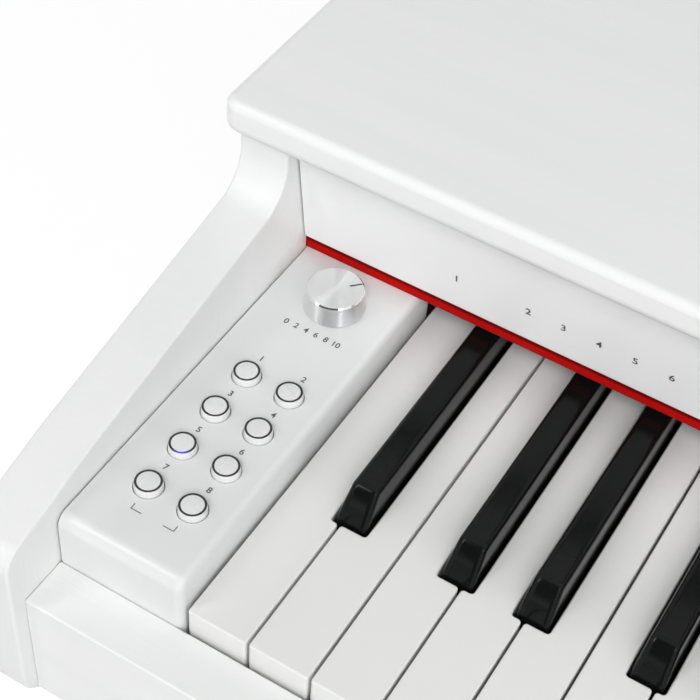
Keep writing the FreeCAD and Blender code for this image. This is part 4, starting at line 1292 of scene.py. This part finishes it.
    def black(self, name: str, octave: int, centre: float, semitone: int) -> bpy.types.Object:
        """A black key: tapered sides, a sloping front and soft shoulders.

        Args:
            name: the key's name.
            octave: which octave it is in.
            centre: where it is centred, in white keys from C.
            semitone: how many keys it is above its C.

        Returns:
            The finished key.
        """
        x = self.first_c + octave * self.octave + centre * self.pitch
        half = self.black_foot / 2
        shoulder = self.top + self.black_shoulder
        piece = Workpiece.block(name, (x - half, self.black_front, self.black_low),
                                (x + half, self.black_end, self.crest))
        piece.bisect((0, 0, shoulder), (0, 0, 1))
        narrow = self.black_top / self.black_foot
        piece.faces((0, 0, 1)).stretch((narrow, 1, 1), (x, 0, self.crest))
        piece.edges(lambda at, run: near(at.z, self.crest) and near(at.y, self.black_front))
        piece.move((0, self.black_slope, 0))
        piece.edges(lambda at, run: at.z > shoulder + HAIR and at.y < self.black_end - HAIR)
        piece.bevel(self.black_round, segments=6)
        return self.with_tail(piece, semitone, octave, self.black_end).off_bench(angle=30)


# ---------------------------------------------------------------------------- the control blocks


@dataclass
class Printing:
    """Marks printed on a level face of the case, or on its leaning fascia."""

    level: float
    thick: float
    half_line: float = 0.00016
    letter_scale: float = 1.35
    boldness: float = 0.02

    def on_level(self, name: str, text: str, at: Point, size: float) -> None:
        """Print a number on the level face, with its middle at a point."""
        self.write(name, text, Matrix.Translation((at[0], at[1], self.level + self.thick / 2)), size)

    def write(self, name: str, text: str, place: Matrix, size: float) -> None:
        """Print a number.

        Args:
            name: the piece's name.
            text: the number.
            place: carries the number from a level face at the origin to its own face.
            size: the height of the lettering.
        """
        clear_bench()
        bpy.ops.object.text_add()
        words = bpy.context.object.data
        words.body = text
        words.size = size * self.letter_scale
        words.align_x = words.align_y = "CENTER"
        words.offset = size * self.boldness
        words.extrude = self.thick / 2
        bpy.ops.object.convert(target="MESH")
        piece = Workpiece(name).tidy()
        bpy.ops.object.mode_set(mode="OBJECT")
        piece.thing.data.transform(place)
        dress(piece.off_bench(weigh=False), INK, "cabinet", "black_plastic")

    def line(self, name: str, start: Point, end: Point) -> None:
        """Print a line along X or Y on the level face.

        Args:
            name: the piece's name.
            start: where the middle of the line starts.
            end: where it ends.
        """
        low = [min(pair) - self.half_line for pair in zip(start, end)]
        high = [max(pair) + self.half_line for pair in zip(start, end)]
        piece = Workpiece.block(name, (*low, self.level), (*high, self.level + self.thick))
        dress(piece.off_bench(), INK, "cabinet", "black_plastic")


@dataclass
class ControlBlocks:
    """The moulded blocks at the ends of the keys, with buttons, knob and printing."""

    wall: float = 0.0025
    front_round: float = 0.005
    key_round: float = 0.003
    cheek_round: float = 0.0004
    rim: float = 0.00035
    button_count: int = 8
    lit_button: int = 5

    button_play: float = 0.00025
    button_seat: float = 0.0003
    button_flange: float = 0.0014
    flange_high: float = 0.0012
    stem: float = 0.0015
    cap_side: float = 0.0003
    cap_neck: float = 0.0008
    cap_draw: float = 0.00012
    cap_taper: float = 0.0003
    cap_edge: float = 0.00005
    cap_edge_low: float = 0.00008
    dome: float = 0.0002
    dome_steps: tuple[float, ...] = (0.15, 0.3, 0.5, 0.75, 1)
    ring_inset: float = 0.00037
    ring_wide: float = 0.0008
    ring_deep: float = 0.00015
    ring_lip: float = 0.00002
    lamp_across: float = 0.42
    lamp_front: float = 0.9

    sign_radius: float = 0.0017
    sign_thin: float = 0.8
    sign_start: float = 120.0
    sign_turn: float = 300.0
    sign_steps: int = 20
    stroke: tuple[float, float] = (0.0004, 0.0024)
    stroke_half: float = 0.00018

    shaft: float = 0.003
    shaft_play: float = 0.001
    knob_lift: float = 0.0004
    knob_skirt: float = 0.002
    knob_foot: float = 0.0003
    knob_taper: float = 0.0007
    knob_chamfer: float = 0.0005
    knob_dish: tuple[tuple[float, float], ...] = ((1, 0), (0.6, 0.00003), (0.3, 0.00006), (0, 0.00008))
    pointer: tuple[float, float] = (0.0054, 0.0102)
    pointer_turn: float = 46.0
    pointer_half: float = 0.00032
    pointer_sunk: float = 0.0001
    pointer_edge: float = 0.00008

    ink_lift: float = 0.00003
    ink_thick: float = 0.00002
    number_size: float = 0.0026
    number_back: float = 0.0095
    scale_marks: tuple[str, ...] = ("0", "2", "4", "6", "8", "10")
    scale_first: float = -0.0105
    scale_pitch: float = 0.0042
    scale_front: float = 0.0163
    bracket_front: float = 0.0106
    bracket_rise: float = 0.0022
    bracket_long: float = 0.004
    bracket_insets: tuple[float, float] = (0.0005, 0.0002)

    def __post_init__(self) -> None:
        """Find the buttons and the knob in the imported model."""
        self.left = Box.of("left_key_block")
        self.right = Box.of("right_key_block")
        self.top = self.left.high.z
        self.buttons = [Box.of(f"button_{number}") for number in range(1, self.button_count + 1)]
        self.power = Box.of("power_button")
        self.knob = Box.of("volume_knob")

    def build(self) -> None:
        """The two blocks and what is on them."""
        self.blocks()
        for number, box in enumerate(self.buttons, 1):
            self.button(f"button_{number}", box, number == self.lit_button)
        self.button("power_button", self.power, False)
        self.power_sign()
        self.volume()
        self.pointer_mark()
        self.printing()

    def blocks(self) -> None:
        """The shells, rounded over their fronts, with a hole for each control."""
        play = self.button_play
        left_holes = [(box.middle, self.cap_radius(box) + play) for box in self.buttons]
        left_holes.append((self.knob.middle, self.shaft + self.shaft_play))
        right_holes = [(self.power.middle, self.cap_radius(self.power) + play)]
        self.shell("left_key_block", self.left, self.left.high.x, self.left.low.x, left_holes)
        self.shell("right_key_block", self.right, self.right.low.x, self.right.high.x, right_holes)

    def cap_radius(self, box: Box) -> float:
        """The radius of a button's cap, which is its flange's less the flange's reach."""
        return (box.high.x - box.low.x) / 2 - self.button_flange

    def shell(self, node: str, box: Box, keys: float, cheek: float,
              holes: Sequence[tuple[Vector, float]]) -> None:
        """One block.

        Args:
            node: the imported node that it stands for.
            box: that node's box.
            keys: where its side towards the keys is.
            cheek: where its side towards the side board is.
            holes: the centre and radius of each hole in its top.
        """
        piece = Workpiece.block(f"{node}_shell", box.low, box.high)
        piece.edges(lambda at, run: near(at.y, box.low.y) and near(at.z, self.top))
        piece.bevel(self.front_round, segments=8)
        for side, radius in ((keys, self.key_round), (cheek, self.cheek_round)):
            piece.edges(lambda at, run: near(at.x, side) and at.y < box.high.y - HAIR
                        and at.z > box.low.z + HAIR)
            piece.bevel(radius, segments=5)
        piece.faces((0, 0, -1)).inset(self.wall)
        piece.extrude((0, 0, self.top - self.wall - box.low.z))
        for centre, radius in holes:
            piece.shape_with(Workpiece.bar("hole", (centre.x, centre.y, self.top), radius, 4 * self.wall))
            piece.edges(lambda at, run: near(at.z, self.top)
                        and near(math.hypot(at.x - centre.x, at.y - centre.y), radius, 10 * HAIR))
            piece.bevel(self.rim, segments=2)
        dress(piece.off_bench(angle=30), PANEL, "cabinet", "panel_plastic", (node,))

    def button(self, node: str, box: Box, lit: bool) -> None:
        """A push button: a soft white cap with a dark ring let into its top.

        Args:
            node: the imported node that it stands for.
            box: that node's box.
            lit: whether its lamp is on.
        """
        radius = self.cap_radius(box)
        crown = radius - self.cap_taper
        flange = radius + self.button_flange
        low, high = box.low.z, box.high.z
        seat = self.top - self.wall - self.button_seat
        ring_out = radius - self.ring_inset
        ring_in = ring_out - self.ring_wide
        level, lip = high - self.ring_deep, high - self.ring_lip
        profile = [
            (0, low), (self.stem, low), (self.stem, seat - self.flange_high),
            (flange, seat - self.flange_high), (flange, seat), (radius, seat),
            (radius, self.top + self.cap_side), (radius - self.cap_draw, self.top + self.cap_neck),
            (crown, high - self.cap_side), (crown - self.cap_edge, high - self.cap_edge_low),
            (ring_out + self.ring_lip, high), (ring_out, level), (ring_in, level),
            (ring_in - self.ring_lip, lip)]
        profile += [(ring_in * (1 - part), high + self.dome * math.sin(part * SQUARE))
                    for part in self.dome_steps]
        centre = (box.middle.x, box.middle.y, 0)
        cap = Workpiece.turned(f"{node}_cap", centre, profile, steps=64)
        dress(cap.off_bench(angle=50), BUTTON, node, "button_plastic", (node,))
        band = [(ring_in, level), (ring_out, level), (ring_out, lip), (ring_in, lip), (ring_in, level)]
        ring = Workpiece.turned(f"{node}_ring", centre, band, steps=64)
        finish = RING
        if lit:
            lamp = (centre[0] + self.lamp_across * ring_out, centre[1] - self.lamp_front * ring_out, high)
            finish = LampFinish("lit button ring", RING.tone, RING.shade, RING.smooth, RING.rough,
                                RING.patch, RING.skin, RING.relief, centre=lamp)
        dress(ring.off_bench(), finish, node, "black_plastic", (node,))

    def power_sign(self) -> None:
        """A plain open ring and stroke, printed on the power button."""
        middle = self.power.middle
        level = self.power.high.z + self.dome + self.ink_lift
        top = level + self.ink_thick
        start, end = self.stroke
        stroke = Workpiece.block("power_stroke", (middle.x - self.stroke_half, middle.y + start, level),
                                 (middle.x + self.stroke_half, middle.y + end, top))
        dress(stroke.off_bench(), INK, "power_button", "black_plastic")
        step = self.sign_turn / self.sign_steps
        turns = [math.radians(self.sign_start + step * count) for count in range(self.sign_steps + 1)]
        corners = [Corner(middle.x + radius * math.cos(turn), middle.y + radius * math.sin(turn))
                   for radius, way in ((self.sign_radius, turns),
                                       (self.sign_thin * self.sign_radius, reversed(turns)))
                   for turn in way]
        arc = Workpiece.board("power_arc", Plane.XY, (level, top), corners)
        dress(arc.off_bench(), INK, "power_button", "black_plastic")

    def volume(self) -> None:
        """The spun knob on its shaft: its body, its bright cut edge and its dished face."""
        box = self.knob
        centre = (box.middle.x, box.middle.y, 0)
        radius = (box.high.x - box.low.x) / 2
        under = self.top + self.knob_lift
        hollow = under + self.knob_skirt
        skirt = radius - self.knob_skirt
        rim = radius - self.knob_taper
        face = rim - self.knob_chamfer
        top = box.high.z
        ledge = top - self.knob_chamfer
        body = [(0, box.low.z), (self.shaft, box.low.z), (self.shaft, hollow), (skirt, hollow),
                (skirt, under), (radius - self.knob_foot, under), (radius, under + self.knob_foot),
                (rim, ledge), (0, ledge)]
        cut = [(rim, ledge), (face, top), (face, ledge), (rim, ledge)]
        dish = [(0, ledge), (face, ledge)]
        dish += [(face * share, top - depth) for share, depth in self.knob_dish]
        for name, profile, finish, stands_for in (("body", body, KNOB_SIDE, ("volume_knob",)),
                                                  ("cut_edge", cut, CUT_EDGE, ()),
                                                  ("face", dish, KNOB_FACE, ())):
            piece = Workpiece.turned(f"volume_knob_{name}", centre, profile, steps=96)
            dress(piece.off_bench(angle=20), finish, "volume_knob", "spun_aluminium", stands_for)

    def pointer_mark(self) -> None:
        """The dark line on the knob's face, turned to where the knob stands at rest."""
        x, y, top = self.knob.middle.x, self.knob.middle.y, self.knob.high.z
        start, end = self.pointer
        half = self.pointer_half
        piece = Workpiece.block("volume_knob_pointer", (x + start, y - half, top - self.pointer_sunk),
                                (x + end, y + half, top + self.ink_lift))
        bpy.ops.mesh.select_all(action="SELECT")
        bpy.ops.transform.rotate(value=-math.radians(self.pointer_turn), orient_axis="Z",
                                 center_override=(x, y, top))
        piece.soften(self.pointer_edge)
        dress(piece.off_bench(), RING, "volume_knob", "black_plastic")

    def printing(self) -> None:
        """Plain numbers beside the controls, and the bracket under the last two buttons."""
        numbers = Printing(self.top + self.ink_lift, self.ink_thick)
        size = self.number_size
        for number, box in enumerate(self.buttons, 1):
            place = (box.middle.x, box.middle.y + self.number_back)
            numbers.on_level(f"number_{number}", str(number), place, size)
        for step, mark in enumerate(self.scale_marks):
            place = (self.knob.middle.x + self.scale_first + self.scale_pitch * step,
                     self.knob.middle.y - self.scale_front)
            numbers.on_level(f"volume_{mark}", mark, place, size)
        low, high = (box.middle for box in self.buttons[-2:])
        left_inset, right_inset = self.bracket_insets
        foot = low.y - self.bracket_front
        for side, outer, long in (("left", low.x + left_inset, self.bracket_long),
                                  ("right", high.x - right_inset, -self.bracket_long)):
            numbers.line(f"bracket_{side}", (outer, foot), (outer + long, foot))
            numbers.line(f"bracket_{side}_end", (outer, foot), (outer, foot + self.bracket_rise))


# ---------------------------------------------------------------------------- pedals, rest, back


@dataclass
class Pedals:
    """Three pedals in their rail, with the box, springs and adjuster behind them."""

    pedal_round: float = 0.0014
    box_edge: float = 0.0008
    coil_wire: float = 0.0009
    coil_turns: int = 5
    coil_steps: int = 24
    wire_sides: int = 10
    grips: int = 36
    grip_deep: float = 0.0006
    grip_ends: tuple[float, float] = (0.002, 0.0075)
    foot_edge: float = 0.001
    foot_high: float = 0.008
    stem: float = 0.005

    def build(self) -> None:
        """Everything between the feet."""
        for node in ("soft_pedal", "sostenuto_pedal", "sustain_pedal"):
            ease(node, "plate", self.pedal_round, PEDAL_METAL, "pedal_metal", node, segments=4)
        ease("pedal_box", "shell", self.box_edge, BLACK_STEEL, "black_steel")
        self.springs()
        self.adjuster()

    def springs(self) -> None:
        """A wound spring on the rod beside each pedal."""
        tubes = Box.of("pedal_springs")
        wire = self.coil_wire
        radius = (tubes.high.z - tubes.low.z) / 2 - wire
        pitch = Box.of("sustain_pedal").middle.x
        run = tubes.high.x - tubes.low.x - 2 * pitch - 2 * wire
        steps = self.coil_steps * self.coil_turns
        for step, name in enumerate(("soft", "sostenuto", "sustain")):
            clear_bench()
            bpy.ops.mesh.primitive_circle_add(vertices=self.wire_sides, radius=wire,
                                              location=(0, 0, radius), rotation=(SQUARE, 0, 0))
            coil = Workpiece(f"pedal_spring_{name}")
            coil.apply("SCREW", axis="X", angle=math.tau * self.coil_turns, screw_offset=run,
                       steps=steps, render_steps=steps)
            bpy.ops.mesh.select_all(action="SELECT")
            bpy.ops.mesh.fill_holes(sides=self.wire_sides)
            coil.tidy()
            coil.move((tubes.low.x + wire + step * pitch, tubes.middle.y, tubes.middle.z))
            dress(coil.off_bench(), STEEL, "cabinet", "bare_steel", ("pedal_springs",))

    def adjuster(self) -> None:
        """The screw foot under the rail, with a gripped rim."""
        box = Box.of("pedal_rail_adjuster")
        low, radius = box.low.z, (box.high.x - box.low.x) / 2
        centre = Vector((box.middle.x, box.middle.y, 0))
        small = radius - self.foot_edge
        profile = [(0, low), (small, low), (radius, low + self.foot_edge),
                   (radius, self.foot_high - self.foot_edge), (small, self.foot_high),
                   (self.stem, self.foot_high), (self.stem, box.high.z), (0, box.high.z)]
        piece = Workpiece.turned("pedal_rail_adjuster_foot", centre, profile, steps=2 * self.grips)
        piece.pick(Element.VERT, lambda at, _: self.in_grip(at - centre, small))
        inwards = 1 - self.grip_deep / radius
        piece.stretch((inwards, inwards, 1), centre)
        dress(piece.off_bench(), RUBBER, "cabinet", "black_rubber", ("pedal_rail_adjuster",))

    def in_grip(self, at: Vector, small: float) -> bool:
        """Whether a point of the foot's rim lies at the bottom of a grip.

        Args:
            at: the point, from the middle of the foot's base.
            small: the radius inside which nothing is gripped.

        Returns:
            Whether it does.
        """
        start, end = self.grip_ends
        count = round(math.atan2(at.y, at.x) * 2 * self.grips / math.tau)
        return math.hypot(at.x, at.y) > small and start < at.z < end and count % 2 == 0


@dataclass
class MusicRest:
    """The folding music board on top, with its prop and hinges."""

    board_round: float = 0.0014
    metal_round: float = 0.0005

    def build(self) -> None:
        """The board, its prop and its hinges."""
        ease("music_rest", "piece", self.board_round, REST_BOARD, "rest_board", "music_rest", angle=50)
        ease("music_rest_prop", "piece", self.metal_round, STEEL, "bare_steel", "music_rest_prop", angle=50)
        ease("music_rest_hinges", "piece", self.metal_round, STEEL, "bare_steel", angle=50)


@dataclass
class BackAndUnder:
    """The socket plate with its nuts, and the brackets and back with their screws."""

    plate_edge: float = 0.0004
    sockets: int = 5
    socket_pitch: float = 0.024
    nut_outer: float = 0.0048
    nut_bore: float = 0.0032
    nut_high: float = 0.0012
    nut_shoulder: float = 0.7
    nut_slope: float = 0.0004
    nut_edge: float = 0.0003
    head: float = 0.004
    head_high: float = 0.0025
    crown: tuple[tuple[float, float], ...] = ((0, 1), (0.5, 0.95), (0.8, 0.7), (1, 0.25), (1, 0))
    shank: float = 0.002
    shank_long: float = 0.012
    shank_straight: float = 0.8
    cross_long: float = 0.55
    cross_half: float = 0.12
    cross_level: float = 0.45
    angle_leg: float = 0.04
    angle_thick: float = 0.003
    angle_place: float = 0.11
    back_screws: int = 7
    back_pitch: float = 0.2
    bed_middle: float = 0.009

    def build(self) -> None:
        """The metal and plastic fittings of the case."""
        ease("corner_brackets", "plate", self.plate_edge, STEEL, "bare_steel", angle=50)
        ease("connector_panel", "plate", self.plate_edge, BLACK_PLASTIC, "black_plastic", angle=50)
        self.nuts()
        self.screws()

    def nuts(self) -> None:
        """A bright ring round each socket."""
        plate = Box.of("connector_panel")
        first = plate.middle.x - (self.sockets - 1) / 2 * self.socket_pitch
        bore, outer, high = self.nut_bore, self.nut_outer, self.nut_high
        profile = [(bore, 0), (outer, 0), (outer, high * self.nut_shoulder),
                   (outer - self.nut_slope, high), (bore + self.nut_edge, high),
                   (bore, high - self.nut_edge), (bore, 0)]
        model = Workpiece.turned("socket_nut", (0, 0, 0), profile, steps=40).off_bench()
        lie = Matrix.Rotation(-SQUARE, 4, "X")
        for step in range(self.sockets):
            place = Matrix.Translation((first + step * self.socket_pitch, plate.high.y, plate.middle.z))
            nut = moved_copy(model, f"socket_nut_{step + 1}", place @ lie)
            dress(nut, STEEL, "cabinet", "bare_steel")
        bpy.data.objects.remove(model)

    def screws(self) -> None:
        """Cross-headed screws in the brackets and along the back."""
        model = self.screw()
        bed, back = Box.of("key_bed"), Box.of("upper_back_panel")
        under = bed.low.z
        half_leg = self.angle_leg / 2
        places = []
        for side in (-1, 1):
            for y in (-self.angle_place, self.angle_place):
                up = Vector((side * (bed.high.x - half_leg), y, under - self.angle_thick))
                out = Vector((side * (bed.high.x - self.angle_thick), y, under - half_leg))
                places += [(up, Vector((0, 0, 1))), (out, Vector((side, 0, 0)))]
        first = -(self.back_screws - 1) / 2 * self.back_pitch
        for step in range(self.back_screws):
            spot = Vector((first + step * self.back_pitch, back.high.y, bed.high.z - self.bed_middle))
            places.append((spot, Vector((0, -1, 0))))
        for number, (spot, way) in enumerate(places, 1):
            place = Matrix.Translation(spot) @ way.to_track_quat("Z", "Y").to_matrix().to_4x4()
            screw = moved_copy(model, f"screw_{number}", place)
            dress(screw, STEEL, "cabinet", "bare_steel", ("cabinet_screws",))
        bpy.data.objects.remove(model)

    def screw(self) -> bpy.types.Object:
        """One screw at the origin, its shank running up and its head below.

        Returns:
            The finished screw.
        """
        head, high, shank = self.head, self.head_high, self.shank
        profile = [(head * across, -high * down) for across, down in self.crown]
        profile += [(shank, 0), (shank, self.shank_long * self.shank_straight), (0, self.shank_long)]
        piece = Workpiece.turned("screw", (0, 0, 0), profile, steps=24)
        arm, half = head * self.cross_long, head * self.cross_half
        for x, y in ((arm, half), (half, arm)):
            cutter = Workpiece.block("cross", (-x, -y, -2 * high), (x, y, -high * self.cross_level))
            piece.shape_with(cutter)
        return piece.off_bench(angle=30)


INSIDE = {
    FRAME_PLASTIC: ("key_frame",),
    STEEL: ("key_pivot_rod", "key_spring_comb", "pedal_pivot_rod"),
    RUBBER: ("key_contact_rubber",),
    GREY_FELT: ("key_stop_felt",),
    CIRCUIT: ("key_contact_board", "panel_circuit_boards", "main_circuit_board"),
    BLACK_PLASTIC: ("volume_encoder", "speaker_grilles", "speakers"),
}


def dress_inside() -> None:
    """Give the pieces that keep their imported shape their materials."""
    for finish, names in INSIDE.items():
        for name in names:
            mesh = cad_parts[name].data
            mesh.materials.clear()
            mesh.materials.append(finish.material())
            log.info("%s keeps its packed shape, in %s", name, finish.name)


# ---------------------------------------------------------------------------- the studio


@dataclass(frozen=True)
class Softbox:
    """A lamp: where it hangs, where it points, its size, its watts and whether gloss shows it."""

    name: str
    place: Spot
    target: Spot
    size: tuple[float, float]
    power: float
    mirrored: bool = False

    def hang(self) -> None:
        """Put the lamp up."""
        data = bpy.data.lights.new(self.name, "AREA")
        data.shape = "RECTANGLE"
        data.size, data.size_y = self.size
        data.energy = self.power
        lamp = bpy.data.objects.new(self.name, data)
        bpy.context.scene.collection.objects.link(lamp)
        turn = (Vector(self.target) - Vector(self.place)).to_track_quat("-Z", "Y").to_matrix().to_4x4()
        lamp.matrix_world = Matrix.Translation(self.place) @ turn
        lamp.visible_glossy = self.mirrored


@dataclass
class Studio:
    """The camera, the lamps and the pale floor."""

    eye: Spot = (-0.43131, -0.43004, 1.20070)
    forward: Spot = (-0.3130613, 0.5936408, -0.7413388)
    roll: float = 4.68
    lens: float = 86.06
    film: float = 36.0
    sight: tuple[float, float] = (0.02, 60.0)
    fill: float = 0.245
    dark_way: Spot = (0.1, -0.77, 0.63)
    dark_edge: tuple[float, float] = (0.74, 0.83)
    dark_level: float = 0.12
    floor_wide: float = 30.0
    floor_matt: float = 0.6
    floor_shadow: float = 0.3
    floor_fade: tuple[float, float] = (2.0, 9.0)
    floor_glow: tuple[float, float] = (0.78, 0.97)
    lamps: tuple[Softbox, ...] = (
        Softbox("main lamp", (0.21, -2.19, 2.86), (-0.45, -0.15, 0.76), (1.6, 1.6), 43.5),
        Softbox("front lamp", (-0.2, -3.0, 1.4), (-0.45, -0.15, 0.76), (1.6, 1.2), 8.5),
        Softbox("left softbox", (-1.54, -1.26, 2.32), (-0.5, -0.1, 0.76), (0.4, 1.3), 9.5, mirrored=True),
        Softbox("right softbox", (0.95, -1.23, 2.30), (-0.5, -0.1, 0.76), (0.45, 1.2), 8, mirrored=True),
        Softbox("right lamp", (2.02, -0.8, 1.28), (-0.45, -0.15, 0.76), (1.2, 1.2), 16.5),
        Softbox("left lamp", (-3.0, -0.3, 1.2), (0, -0.1, 0.6), (1.6, 1.6), 14),
        Softbox("back lamp", (0.4, 3.0, 1.8), (0, 0, 0.6), (1.8, 1.8), 25))

    def build(self) -> None:
        """Set the whole studio up."""
        self.camera()
        self.world()
        self.floor()
        for lamp in self.lamps:
            lamp.hang()

    def camera(self) -> None:
        """The camera, looking down over the left end of the keys."""
        data = bpy.data.cameras.new("camera")
        data.lens = self.lens
        data.sensor_width = self.film
        data.clip_start, data.clip_end = self.sight
        camera = bpy.data.objects.new("camera", data)
        bpy.context.scene.collection.objects.link(camera)
        turn = Vector(self.forward).to_track_quat("-Z", "Y").to_matrix()
        turn = turn @ Matrix.Rotation(math.radians(self.roll), 3, "Z")
        camera.matrix_world = Matrix.Translation(self.eye) @ turn.to_4x4()
        bpy.context.scene.camera = camera

    def world(self) -> None:
        """White where it is seen or mirrored, and a softer white as a light."""
        world = bpy.data.worlds.new("studio")
        bpy.context.scene.world = world
        world.use_nodes = True
        nodes = Nodes(world.node_tree)
        strength = nodes.fade(self.seen(nodes), 0.0, 1.0, self.fill, self.mirrored(nodes))
        light = nodes.add("ShaderNodeBackground", Color=(1, 1, 1, 1), Strength=strength)
        nodes.feed(nodes.add("ShaderNodeOutputWorld"), 0, light.outputs[0])

    def mirrored(self, nodes: Nodes) -> bpy.types.NodeSocket:
        """How bright the room looks: white, but darker in gloss where the player's side is.

        Args:
            nodes: the world's nodes.

        Returns:
            The brightness.
        """
        way = nodes.add("ShaderNodeTexCoord").outputs["Generated"]
        ahead = nodes.measure("DOT_PRODUCT", way, Vector(self.dark_way).normalized())
        path = nodes.add("ShaderNodeLightPath")
        gloss = nodes.reckon("MULTIPLY", nodes.fade(ahead, *self.dark_edge), path.outputs["Is Glossy Ray"])
        return nodes.fade(gloss, 0.0, 1.0, 1.0, self.dark_level)

    def seen(self, nodes: Nodes) -> bpy.types.NodeSocket:
        """Whether a ray comes from the camera, a mirror or clear glass.

        Args:
            nodes: the world's or a material's nodes.

        Returns:
            One where it does, or else nought.
        """
        path = nodes.add("ShaderNodeLightPath").outputs
        straight = nodes.reckon("ADD", path["Is Camera Ray"], path["Is Glossy Ray"])
        return nodes.reckon("ADD", straight, path["Is Transmission Ray"], clamp=True)

    def floor(self) -> None:
        """A wide pale floor that keeps a faint shadow."""
        clear_bench()
        bpy.ops.mesh.primitive_plane_add(size=self.floor_wide)
        plane = bpy.context.object
        plane.name = "floor"
        made = bpy.data.materials.new("pale floor")
        made.use_nodes = True
        nodes = Nodes(made.node_tree)
        matt = nodes.add("ShaderNodeBsdfDiffuse", Color=(*[self.floor_matt] * 3, 1))
        away = nodes.measure("LENGTH", nodes.add("ShaderNodeTexCoord").outputs["Object"])
        white = nodes.add("ShaderNodeEmission", Color=(1, 1, 1, 1),
                          Strength=nodes.fade(away, *self.floor_fade, *self.floor_glow))
        shadow = nodes.add("ShaderNodeBsdfDiffuse", Color=(*[self.floor_shadow] * 3, 1))
        shown = nodes.add("ShaderNodeAddShader")
        nodes.feed(shown, 0, white.outputs[0])
        nodes.feed(shown, 1, shadow.outputs[0])
        mix = nodes.add("ShaderNodeMixShader")
        for socket, given in enumerate((self.seen(nodes), matt.outputs[0], shown.outputs[0])):
            nodes.feed(mix, socket, given)
        nodes.feed(nodes.add("ShaderNodeOutputMaterial"), 0, mix.outputs[0])
        plane.data.materials.append(made)


def main() -> None:
    """Build the piano's looks, piece by piece, and log each part as it is done."""
    logging.basicConfig(level=logging.INFO, format="%(relativeCreated)d %(name)s: %(message)s")
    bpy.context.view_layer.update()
    bpy.context.scene.view_settings.view_transform = "Standard"
    for part in (Studio(), Case(), Keyboard(), ControlBlocks(), Pedals(), MusicRest(),
                 BackAndUnder()):
        part.build()
        log.info("%s is done", type(part).__name__)
    dress_inside()


if __name__ == "__main__":
    main()
